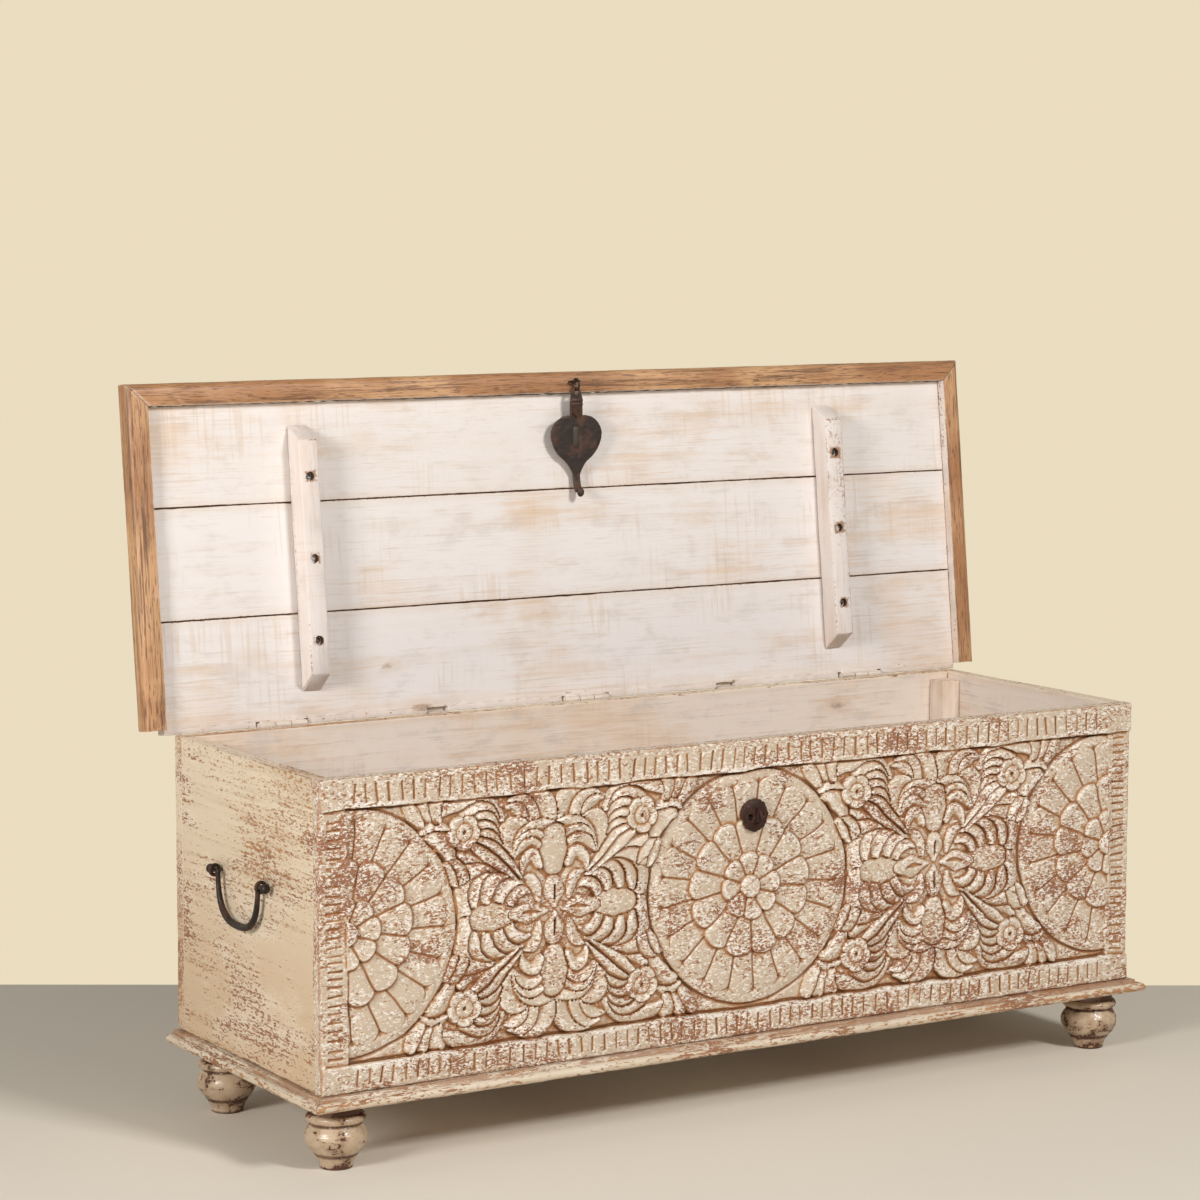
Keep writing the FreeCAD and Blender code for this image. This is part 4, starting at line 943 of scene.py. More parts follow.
    def finish(self, body: Body, slot: Slot, material: bpy.types.Material, *nodes: str, seed: int = 0,
               sharp: float = 38.0, hollow: Optional[Callable[[np.ndarray], np.ndarray]] = None
               ) -> bpy.types.Object:
        """Turn the shape into a piece of the scene.

        Args:
            body: Body that it rides on.
            slot: Its material slot; not used.
            material: Its material.
            nodes: CAD nodes that it stands for.
            seed: Choice of its grain.
            sharp: Angle above which an edge stays sharp, in degrees.
            hollow: Gives the depth of a hollow at each vertex.

        Returns:
            The piece.
        """
        self.shape.normal_update()
        mesh = bpy.data.meshes.new(self.name)
        self.shape.to_mesh(mesh)
        self.shape.free()
        spots = np.zeros(len(mesh.vertices) * 3)
        mesh.vertices.foreach_get("co", spots)
        spots = spots.reshape(-1, 3)
        store(mesh, "edge_mm", segment_distance(spots, self.creases))
        store(mesh, "seed", float(seed))
        if hollow:
            store(mesh, "cavity", hollow(spots))
        mesh.materials.append(material)
        return enter(mesh, body, nodes, sharp)


def arc(centre: Point, radius: float, start: float, end: float, steps: int = 6) -> list[Point]:
    """Points of an arc.

    Args:
        centre: Its centre.
        radius: Its radius.
        start: First angle, in degrees.
        end: Last angle.
        steps: Number of chords.

    Returns:
        The points from start to end.
    """
    turns = np.radians(np.linspace(start, end, steps + 1))
    return [(centre[0] + radius * math.cos(t), centre[1] + radius * math.sin(t)) for t in turns]


def box_of(node: str, matrix: Optional[Matrix] = None) -> tuple[Vector, Vector]:
    """Box of a CAD node, in the row frame or after a matrix.

    Args:
        node: Name of the node.
        matrix: Move applied first, or none.

    Returns:
        Its lowest and highest corners.
    """
    if matrix is None:
        low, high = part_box(node)
        return Vector(low), Vector(high)
    spots = np.array([(matrix @ v.co)[:] for v in frame["nodes"][node].data.vertices])
    return Vector(spots.min(axis=0)), Vector(spots.max(axis=0))


def loose_runs(node: str, apart: float = 0.05) -> list[list[float]]:
    """Places along X that each separate solid of a CAD node covers.

    Args:
        node: Name of the node.
        apart: Least distance between two solids, in metres.

    Returns:
        For each solid, the x of its vertices.
    """
    places = sorted(v.co.x for v in frame["nodes"][node].data.vertices)
    runs = [[places[0]]]
    for place in places[1:]:
        if place - runs[-1][-1] > apart:
            runs.append([])
        runs[-1].append(place)
    return runs


# Carved front
def smooth(low: float, high: float, value: np.ndarray) -> np.ndarray:
    """Smooth step from low to high, or downwards where high is the lower."""
    share = np.clip((value - low) / (high - low), 0, 1)
    return share * share * (3 - 2 * share)


def bend(points: Sequence[Point], steps: int = 16) -> np.ndarray:
    """Points along a Bezier curve of two, three or four control points."""
    share = np.linspace(0, 1, steps + 1)[:, None]
    order = len(points) - 1
    return sum(math.comb(order, i) * (1 - share) ** (order - i) * share ** i * np.array(p, dtype=float)
               for i, p in enumerate(points))


@dataclass(frozen=True)
class Stroke:
    """One carved lobe: control points of its middle line, half widths along it, and height."""

    line: tuple[Point, ...]
    widths: tuple[float, ...]
    rise: float


# One quarter of the foliate cross, from its centre, in millimetres
LEAF_GROUND = (
    Stroke(((0, 0), (60, 54), (112, 96)), (14, 30, 18), 2.6),
    Stroke(((30, 80), (62, 92), (66, 112)), (24, 30, 14), 2.6),
    Stroke(((60, 30), (96, 36), (110, 22)), (18, 20, 14), 2.6),
    Stroke(((8, 118), (40, 122), (66, 116)), (16, 16, 12), 2.6),
    Stroke(((70, 112), (100, 124), (140, 122)), (12, 18, 12), 2.4),
    Stroke(((100, 56), (128, 56)), (12, 12), 2.4),
)
LEAF_LOBES = (
    Stroke(((49, 134), (26, 137), (9, 128), (9, 108)), (2, 7, 8.5, 8), 5.0),
    Stroke(((57, 130), (40, 133), (31, 122), (29, 107)), (2, 6, 7, 6.5), 5.2),
    Stroke(((62, 123), (50, 124), (42, 116), (40, 107)), (2, 5, 5.5, 4.5), 5.2),
    Stroke(((54, 66), (64, 84), (60, 104), (42, 103)), (2, 8, 9, 5), 4.6),
    Stroke(((52, 66), (48, 86), (33, 104), (4, 97)), (2, 5, 6, 4), 5.4),
    Stroke(((53, 65), (46, 84), (34, 95), (18, 86)), (1.5, 5, 5, 3.5), 5.2),
    Stroke(((52, 64), (42, 78), (32, 84), (21, 74)), (1.5, 5, 5, 3.5), 5.0),
    Stroke(((42, 45), (40, 62), (27, 72), (20, 53)), (1.5, 5, 6, 4), 5.0),
    Stroke(((38, 40), (27, 38), (22, 27), (20, 14)), (1.5, 5.5, 5, 2.5), 4.6),
    Stroke(((81, 52), (110, 52), (121, 36), (114, 2)), (3, 7, 8, 5.5), 5.2),
    Stroke(((71, 46), (95, 47), (107, 34), (104, 16)), (2, 6, 6.5, 3.5), 5.4),
    Stroke(((57, 42), (79, 45), (90, 34), (88, 19)), (2, 6, 6.5, 3.5), 5.4),
    Stroke(((43, 36), (62, 41), (74, 29), (72, 17)), (2, 5, 6, 3.5), 5.4),
    Stroke(((33, 25), (46, 32), (59, 23), (59, 11)), (2, 5, 5, 3.5), 5.2),
    Stroke(((83, 58), (104, 60), (118, 73)), (2, 6, 4), 4.8),
    Stroke(((81, 55), (100, 58), (116, 54), (126, 44)), (2, 5, 7, 4), 4.6),
    Stroke(((67, 112), (80, 136), (110, 142), (150, 124)), (3, 6, 7, 5), 5.0),
    Stroke(((73, 112), (83, 127), (99, 131), (118, 119)), (2.5, 5, 5, 4), 4.8),
    Stroke(((73, 102), (78, 113), (88, 118), (99, 116)), (2.5, 4.5, 4.5, 3.5), 4.8),
    Stroke(((72, 94), (79, 103), (88, 107), (99, 105)), (2.5, 4.5, 4.5, 3), 4.8),
    Stroke(((69, 82), (76, 92), (86, 97), (95, 93)), (2.5, 4.5, 4.5, 3), 4.6),
    Stroke(((43, 42), (63, 66), (78, 82), (94, 87)), (1.2, 3.5, 5.5, 3.5), 5.6),
    Stroke(((48, 39), (71, 58), (88, 72), (101, 81)), (1.2, 3.5, 5.5, 4), 5.6),
    Stroke(((135, 105), (152, 115), (168, 103)), (2, 6, 2), 4.6),
    Stroke(((150, 137), (157, 126), (149, 116)), (6, 6.5, 4), 4.6),
    Stroke(((168, 136), (169, 126), (161, 117)), (5, 5, 3), 4.4),
    Stroke(((184, 134), (180, 124), (171, 112)), (5, 6, 4), 4.2),
    Stroke(((131, 68), (139, 96), (158, 96)), (4, 8, 5), 4.6),
    Stroke(((112, 48), (125, 66), (141, 62)), (3, 6.5, 3), 4.8),
    Stroke(((126, 42), (134, 52), (136, 62)), (3, 5, 3), 4.2),
)


@dataclass(frozen=True)
class Ring:
    """One ring of scalloped petals in a rosette."""

    reach: float
    petals: int
    shift: float
    start: float
    rise: float
    scallop: float


@dataclass
class Relief:
    """Height of the carved front above its deepest ground, in millimetres, on a regular grid."""

    length: float
    height: float
    pitch: float
    border_top: float = 312.0
    border_foot: float = 31.6
    border_end: float = 530.2
    border_rise: float = 7.6
    rosette_radius: float = 137.0
    rosette_level: float = 175.0
    rosette_places: tuple[float, ...] = (-3.0, -530.0, 530.0)
    rosette_petals: int = 21
    rosette_button: float = 14.0
    rosette_rings: tuple[Ring, ...] = (
        Ring(85.0, 13, 0.016, 1.8, 6.0, 11.5), Ring(43.0, 8, 0.048, 3.2, 7.7, 8.5))
    cross_level: float = 174.8
    cross_places: tuple[float, ...] = (-268.0, 262.0)
    flower_place: Point = (115.6, 98.6)
    flower_radius: float = 22.0
    gouge_rows: tuple[Point, ...] = ((316.0, 340.0), (6.0, 27.0))
    gouge_reach: float = 520.0
    gouge_pitch: float = 15.5
    end_gouges: Point = (40.0, 308.0)
    end_gouge_pitch: float = 9.5
    hand_drift: float = 1.6
    spread: float = 1.58
    round_edge: float = 2.6

    def __post_init__(self) -> None:
        """Lay the grid and carve everything on it."""
        self.across = np.arange(-self.length / 2, self.length / 2 + self.pitch / 2, self.pitch)
        self.upward = np.arange(0, self.height + self.pitch / 2, self.pitch)
        self.x, self.z = np.meshgrid(self.across, self.upward)
        plain_x, plain_z = self.x, self.z
        self.x = plain_x + self.hand_drift * self.cloud(34, 3) + 0.5 * self.cloud(11, 4)
        self.z = plain_z + self.hand_drift * self.cloud(34, 5) + 0.5 * self.cloud(11, 6)
        self.h = 0.35 * self.cloud(9, 9)
        for place in self.cross_places:
            self.cross(place, self.cross_level)
        for place in self.rosette_places:
            self.rosette(place, self.rosette_level)
        self.border()
        self.h += 0.16 * self.cloud(5, 12) + 0.22 * self.cloud(24, 13)
        rim = np.minimum(np.minimum(plain_x + self.length / 2, self.length / 2 - plain_x),
                         np.minimum(plain_z, self.height - plain_z))
        rim = rim + 0.7 * self.cloud(14, 14) - 0.3
        fall = np.clip(1 - rim / self.round_edge, 0, 1)
        self.h -= self.round_edge * (1 - np.sqrt(np.clip(1 - fall ** 2, 0, 1)))
        self.rim = rim

    def cloud(self, cell: float, seed: int) -> np.ndarray:
        """Smooth random values from -1 to 1 over the grid.

        Args:
            cell: Size of one swell.
            seed: Choice of the pattern.

        Returns:
            One value for each point.
        """
        rng = np.random.default_rng(seed)
        table = rng.uniform(-1, 1, (int(self.height / cell) + 4, int(self.length / cell) + 4))
        u, v = self.x / cell + self.length / cell / 2 + 1, self.z / cell + 1
        u, v = np.clip(u, 0, table.shape[1] - 2.001), np.clip(v, 0, table.shape[0] - 2.001)
        i, j = u.astype(int), v.astype(int)
        u, v = smooth(0, 1, u - i), smooth(0, 1, v - j)
        low = table[j, i] * (1 - u) + table[j, i + 1] * u
        return low * (1 - v) + (table[j + 1, i] * (1 - u) + table[j + 1, i + 1] * u) * v

    def window(self, low: Sequence[float], high: Sequence[float]) -> tuple[slice, slice]:
        """The part of the grid inside a rectangle."""
        columns = np.searchsorted(self.across, [low[0] - 4, high[0] + 4])
        rows = np.searchsorted(self.upward, [low[1] - 4, high[1] + 4])
        return slice(*rows), slice(*columns)

    def along(self, line: Sequence[Point], widths: Sequence[float]
              ) -> tuple[tuple[slice, slice], np.ndarray, np.ndarray]:
        """Distance from a stroke's middle line as a share of its half width.

        Args:
            line: Control points.
            widths: Half widths along the line.

        Returns:
            The window, the share, and the share with its side as a sign.
        """
        spots = bend(line)
        half = np.interp(np.linspace(0, 1, len(spots)), np.linspace(0, 1, len(widths)), widths)
        reach = half.max()
        cut = self.window(spots.min(0) - reach, spots.max(0) + reach)
        x, z = self.x[cut], self.z[cut]
        best, side = np.full(x.shape, 9.0), np.zeros(x.shape)
        for start, end, first, last in zip(spots, spots[1:], half, half[1:]):
            way = end - start
            share = np.clip(((x - start[0]) * way[0] + (z - start[1]) * way[1]) / (way @ way), 0, 1)
            off_x, off_z = x - start[0] - share * way[0], z - start[1] - share * way[1]
            near = np.hypot(off_x, off_z) / (first + share * (last - first))
            side = np.where(near < best, np.sign(way[0] * off_z - way[1] * off_x) * near, side)
            best = np.minimum(best, near)
        return cut, best, side

    def lobe(self, line: Sequence[Point], widths: Sequence[float], rise: float, base: float,
             tilt: float = 0.0, dome: float = 0.5) -> None:
        """Lay a domed lobe over what is there.

        Args:
            line: Control points.
            widths: Half widths along the line.
            rise: Height of the dome.
            base: Height of its foot.
            tilt: How much higher one side is.
            dome: Power of the dome's section.
        """
        cut, near, side = self.along(line, widths)
        inside = near < 1
        level = base + rise * (1 - near ** 2.6).clip(0) ** dome * (1 + tilt * side)
        self.h[cut][inside] = level[inside]

    def groove(self, line: Sequence[Point], widths: Sequence[float], depth: float) -> None:
        """Cut a rounded groove."""
        cut, near, _ = self.along(line, widths)
        self.h[cut] -= depth * (1 - near.clip(0, 1) ** 2)

    def cross(self, x: float, z: float) -> None:
        """Carve one foliate cross about a place.

        Args:
            x: Its place along the board.
            z: Its place up the board.
        """
        quarters = [(side, up) for side in (1, -1) for up in (1, -1)]
        for side, up in quarters:
            for stroke in LEAF_GROUND:
                self.lobe([(x + p * side, z + q * up) for p, q in stroke.line], stroke.widths, stroke.rise,
                          base=0.2, dome=0.3)
        for side, up in quarters:
            for stroke in LEAF_LOBES:
                self.lobe([(x + p * side, z + q * up) for p, q in stroke.line],
                          [w * self.spread for w in stroke.widths], stroke.rise - 0.4, base=1.2,
                          tilt=-0.62 * side * up, dome=0.5)
        for end in (1, -1):
            self.lobe([(x, z + 52 * end), (x, z + 84 * end)], (13, 19.5, 16), 4.2, base=0.6, dome=0.4)
            self.lobe([(x + 60 * end, z), (x + 96 * end, z)], (11, 17.5, 15), 4.0, base=0.6, dome=0.4)
            self.lobe([(x, z + 4 * end), (x, z + 26 * end), (x, z + 30 * end)], (3, 14, 10), 5.0, base=0.6)
            self.lobe([(x + 10 * end, z), (x + 34 * end, z), (x + 54 * end, z)], (3, 14, 7), 5.0, base=0.6)
            self.groove([(x, z + 12 * end), (x, z + 28 * end)], (1.7, 1.7), 5.5)
            self.groove([(x + 18 * end, z), (x + 30 * end, z + 2), (x + 42 * end, z)], (1, 4.5, 1), 2.6)
        for side, up in quarters:
            self.flower(x + self.flower_place[0] * side, z + self.flower_place[1] * up)

    def flower(self, x: float, z: float, petals: int = 5, base: float = 1.0) -> None:
        """Carve one small dished flower with a drilled button.

        Args:
            x: Its place along the board.
            z: Its place up the board.
            petals: Number of petals.
            base: Height of its foot.
        """
        size = self.flower_radius
        cut = self.window((x - size, z - size), (x + size, z + size))
        off_x, off_z = self.x[cut] - x, self.z[cut] - z
        out, turn = np.hypot(off_x, off_z), np.arctan2(off_z, off_x) * petals / 2 + 0.6
        edge = size * (0.80 + 0.20 * np.abs(np.cos(turn)) ** 0.5)
        dish = 3.8 + 2.6 * smooth(0.3, 0.86, out / size) - 3.6 * smooth(0.86, 1.0, out / edge)
        split = np.exp(-(np.cos(turn) * out / size) ** 2 / 0.006) * smooth(0.35, 0.6, out / size)
        button = 2.3 * np.sqrt(np.clip(1 - ((out - 6.0) / 3.6) ** 2, 0, 1))
        drilled = 4.0 * np.clip(1 - (out / 2.2) ** 2, 0, 1)
        level = base + dish - split + np.maximum(button, 1.2 * (out < 6)) - drilled
        inside = out < edge
        self.h[cut][inside] = level[inside]

    def rosette(self, x: float, z: float) -> None:
        """Carve one rosette: a ring of long petals, two rings of short ones and a button.

        Args:
            x: Its place along the board.
            z: Its place up the board.
        """
        size = self.rosette_radius
        off_x, off_z = self.x - x, self.z - z
        out, turn = np.hypot(off_x, off_z), np.arctan2(off_z, off_x) / math.tau
        disc = out < size
        count = self.rosette_petals
        petal = (turn * count + 0.1) % 1.0 - 0.5
        side = (0.5 - np.abs(petal)) * math.tau / count * out
        level = 1.7 + 1.5 * smooth(80, size - 20, out) - 1.6 * smooth(size - 10, size, out)
        level -= 1.9 * np.exp(-(side / 1.25) ** 2) * smooth(size - 12, size - 18, out)
        level -= 1.9 * np.exp(-(side / 3.2) ** 2) * np.exp(-((out - (size - 14)) / 3.0) ** 2)
        curve = size - 10 - 8 * (np.abs(petal) * 2) ** 3
        level -= 1.2 * np.exp(-((out - curve) / 1.2) ** 2) * smooth(0.12, 0.36, np.abs(petal))
        level += 1.1 * (1 - (2 * petal) ** 2) * smooth(78, 115, out) * smooth(size - 9, size - 18, out)
        self.h[disc] = level[disc]
        for ring in self.rosette_rings:
            petal = ((turn + ring.shift) * ring.petals) % 1.0 - 0.5
            edge = ring.reach - ring.scallop * (1 - np.sqrt(np.clip(1 - (1.96 * petal) ** 2, 0, 1)))
            side = (0.5 - np.abs(petal)) * math.tau / ring.petals * out
            level = ring.start + (ring.rise - ring.start) * (out / edge.clip(1)) ** 1.6
            level -= 1.9 * np.exp(-(side / 1.5) ** 2) + 1.3 * (2 * petal) ** 4 * smooth(0, ring.reach, out)
            level -= (ring.rise - ring.start + 1.6) * (1 - smooth(-0.2, 5.4, edge - out)) ** 1.4
            level = np.maximum(level, self.h)
            inside = out < edge
            self.h[inside] = level[inside]
        self.h -= 2.0 * np.exp(-((out - size - 1.5) / 2.0) ** 2)
        button = out < self.rosette_button
        dome = 6.4 + 1.7 * np.sqrt(np.clip(1 - (out / self.rosette_button) ** 2, 0, 1))
        dome = dome - 2.2 * (1 - smooth(0, 2.4, self.rosette_button - out))
        self.h[button] = dome[button]

    def border(self) -> None:
        """Carve the plain raised border with its inner lines and rows of gouge cuts."""
        top = smooth(self.border_top - 0.8, self.border_top + 0.8, self.z)
        foot = smooth(self.border_foot + 0.8, self.border_foot - 0.8, self.z)
        bitten = np.abs(self.x) + 1.6 * self.cloud(17, 21) + 0.9 * self.cloud(6, 22)
        end = smooth(self.border_end - 2.6, self.border_end + 1.4, bitten)
        raised = np.maximum(np.maximum(top, foot), end)
        rise = self.border_rise - 3.4 * end * (1 - np.maximum(top, foot))
        self.h = self.h * (1 - raised) + rise * raised
        for level in (self.border_top - 1.6, self.border_foot + 1.6):
            self.h -= 1.4 * np.exp(-(self.z - level) ** 2) * (1 - end)
        rng = np.random.default_rng(5)
        for low, high in self.gouge_rows:
            place = -self.gouge_reach
            while place < self.gouge_reach:
                ends = smooth(low, low + 2, self.z) * smooth(high, high - 2, self.z)
                lean = 0.05 * rng.uniform(-1, 1) * (self.z - low)
                cut = np.exp(-(np.abs(self.x - place - lean) / rng.uniform(1.2, 2.1)) ** 2.6)
                self.h -= rng.uniform(1.2, 2.3) * cut * ends
                place += self.gouge_pitch + rng.uniform(-2.2, 2.2)
        for side in (-1, 1):
            place = self.end_gouges[0]
            while place < self.end_gouges[1]:
                ends = smooth(534, 536, self.x * side) * smooth(555, 553, self.x * side)
                cut = np.exp(-(np.abs(self.z - place) / rng.uniform(1.0, 1.7)) ** 2.6)
                self.h -= rng.uniform(1.2, 2.2) * cut * ends
                place += self.end_gouge_pitch + rng.uniform(-1.8, 1.8)

    def hollows(self, spread: float = 2.2) -> np.ndarray:
        """How far each point stands above its surroundings.

        Args:
            spread: Reach of the surroundings.

        Returns:
            Positive values on crests and negative ones in cuts.
        """
        fade = [np.exp(-2 * (math.pi * spread * np.fft.fftfreq(n, self.pitch)) ** 2) for n in self.h.shape]
        soft = np.fft.ifft2(np.fft.fft2(self.h) * fade[0][:, None] * fade[1][None, :]).real
        return self.h - soft

    def lean(self) -> np.ndarray:
        """How steeply each point faces the floor: positive on the lower side of a crest."""
        return np.gradient(self.h, self.pitch, axis=0)


@dataclass
class CarvedFront:
    """The carved front board, made in slabs of fine mesh that meet on upright lines."""

    pitch: float = 1.25
    quick_pitch: float = 3.75
    cuts: tuple[float, ...] = (-190.0, 190.0)
    top_rise: float = 8.0
    broad: float = 7.0
    side_edge: float = 6.0
    sharp: float = 60.0

    def build(self) -> list[bpy.types.Object]:
        """Make the slabs.

        Returns:
            The pieces.
        """
        low, high = box_of("front_panel")
        pitch = self.pitch
        relief = Relief((high.x - low.x) / MM, (high.z - low.z) / MM, pitch)
        hollow = (relief.hollows(), relief.hollows(self.broad), relief.lean())
        places = [0] + [int(np.searchsorted(relief.across, cut)) for cut in self.cuts]
        places.append(len(relief.across) - 1)
        marks = ("left", "middle", "right")
        return [self.slab(mark, relief, hollow, first, last, low, high)
                for mark, first, last in zip(marks, places, places[1:])]

    def slab(self, mark: str, relief: Relief, hollow: tuple[np.ndarray, ...], first: int, last: int,
             low: Vector, high: Vector) -> bpy.types.Object:
        """Make one slab.

        Args:
            mark: Its place in words.
            relief: The carved heights.
            hollow: How far each point stands out, finely and broadly, and how it leans.
            first: First column of the grid.
            last: Last column.
            low: Lowest corner of the board.
            high: Highest corner.

        Returns:
            The piece.
        """
        columns, rows = last - first + 1, len(relief.upward)
        shape = bmesh.new()
        bmesh.ops.create_grid(shape, x_segments=columns - 1, y_segments=rows - 1, size=0.5)
        spots = np.array([v.co[:2] for v in shape.verts])
        i = np.rint((spots[:, 0] + 0.5) * (columns - 1)).astype(int) + first
        j = np.rint((spots[:, 1] + 0.5) * (rows - 1)).astype(int)
        depth = low.y + (self.top_rise - np.minimum(relief.h[j, i], self.top_rise)) * MM
        for vert, x, y, z in zip(shape.verts, relief.across[i], depth, relief.upward[j]):
            vert.co = (float(x) * MM, float(y), low.z + float(z) * MM)
        rim = [e for e in shape.edges if e.is_boundary]
        grown = bmesh.ops.extrude_edge_only(shape, edges=rim)["geom"]
        for vert in kind_of(grown, bmesh.types.BMVert):
            vert.co.y = high.y
        back = [e for e in kind_of(grown, bmesh.types.BMEdge) if e.is_boundary]
        bmesh.ops.contextual_create(shape, geom=back, mat_nr=1)
        bmesh.ops.recalc_face_normals(shape, faces=shape.faces)
        rest = np.zeros(len(shape.verts) - len(i))
        mesh = bpy.data.meshes.new(f"carved_front_{mark}")
        shape.to_mesh(mesh)
        shape.free()
        inner = relief.rim[j, i] > 2 * relief.round_edge
        for name, values in zip(("cavity", "swell", "lean"), hollow):
            store(mesh, name, np.concatenate([np.where(inner, values[j, i], 0.0), rest]))
        store(mesh, "edge_mm", np.concatenate([np.maximum(relief.rim[j, i], 0), rest + self.side_edge]))
        store(mesh, "seed", 1.0)
        for finish in (CARVED, WASH_BODY):
            mesh.materials.append(finish.material())
        return enter(mesh, Body.CHEST, ("front_panel",), self.sharp)


# Chest body
GRAIN = {Axis.X: (0.0, 0.0, 0.0), Axis.Y: (0.0, 0.0, 90.0), Axis.Z: (0.0, 90.0, 0.0)}


def timber(node: str, axis: Axis, slot: Slot, finish: Finish, seed: int, soften: float = 1.4,
           wear: Wear = Wear(), body: Body = Body.CHEST) -> bpy.types.Object:
    """A squared board in place of a CAD node.

    Args:
        node: The node, whose box gives the board's place.
        axis: Direction of the grain.
        slot: Material slot.
        finish: Its finish.
        seed: Choice of its grain and knocks.
        soften: Rounding of its edges, in millimetres.
        wear: How its surface has moved.
        body: Body that it rides on.

    Returns:
        The piece.
    """
    stock = Stock.block(node + "_board", *box_of(node)).soften(soften).margins().divide(axis, 9)
    for other in (a for a in Axis if a is not axis):
        stock.divide(other, 34)
    return stock.wear(wear, seed).finish(body, slot, finish.material(GRAIN[axis]), node, seed=seed)


@dataclass
class ChestBody:
    """Panels, posts and floor of the chest."""

    post_soften: float = 1.0
    panel_soften: float = 2.4

    def build(self) -> None:
        """Make the pieces."""
        CarvedFront().build()
        panel = Wear(wave=0.5, swell=120, nick=1.1, bite=12)
        for seed, node in enumerate(("left_end_panel", "right_end_panel"), 11):
            self.panel(node, Axis.Y, CREAM, seed, panel)
        self.panel("back_panel", Axis.X, CREAM, 13, panel)
        for seed, node in enumerate(("front_left_post", "front_right_post", "back_left_post",
                                     "back_right_post"), 21):
            timber(node, Axis.Z, Slot.WHITE, WASH_BODY, seed, self.post_soften, Wear(0.3, 70, 0.7, 10))
        for seed, node in enumerate(("bottom_plank_front", "bottom_plank_middle", "bottom_plank_back"), 31):
            timber(node, Axis.X, Slot.WHITE, WASH_BODY, seed, 0.8)
        for seed, node in enumerate(("bottom_bearer_left", "bottom_bearer_right"), 41):
            timber(node, Axis.Y, Slot.BROWN, BARE, seed, 1.0)

    def panel(self, node: str, axis: Axis, finish: Finish, seed: int, wear: Wear) -> bpy.types.Object:
        """A panel painted outside and washed inside.

        Args:
            node: The node that it stands for.
            axis: Direction of the grain.
            finish: Outer finish.
            seed: Choice of its grain.
            wear: How its surface has moved.

        Returns:
            The piece.
        """
        piece = timber(node, axis, Slot.CREAM, finish, seed, self.panel_soften, wear)
        piece.data.materials.append(WASH_BODY.material(GRAIN[axis]))
        low, high = box_of(node)
        middle = (low + high) / 2
        inner = Vector((-math.copysign(1, middle.x), 0, 0)) if axis is Axis.Y else Vector((0, -1, 0))
        for face in piece.data.polygons:
            if face.normal.dot(inner) > 0.75:
                face.material_index = 1
        return piece


# Base and feet
def mitred_rails(prefix: str, section: Callable[[float, int], list[Point]], low: Vector, high: Vector,
                 backs: Sequence[float]) -> list[tuple[Stock, Axis, str]]:
    """The rails of a frame that is mitred in front and open at the back.

    Args:
        prefix: First word of the names.
        section: Gives the outline for an outermost place and the way to its inner side.
        low: Lowest corner of the front rail.
        high: Highest corner of the front rail.
        backs: Where the left and the right rail end, along Y.

    Returns:
        Each rail with its axis and the node that it stands for.
    """
    front = Stock.rail(f"{prefix}_front_rail", section(low.y, 1), (low.x, high.x), Axis.X, (1.0, -1.0),
                       low.y)
    made = [(front, Axis.X, f"{prefix}_front_moulding")]
    for side, mark, back in zip((-1, 1), ("left", "right"), backs):
        outer = high.x * side
        rail = Stock.rail(f"{prefix}_{mark}_rail", section(outer, -side), (low.y, back), Axis.Y,
                          (-side * 1.0, 0.0), outer)
        made.append((rail, Axis.Y, f"{prefix}_{mark}_moulding"))
    return made


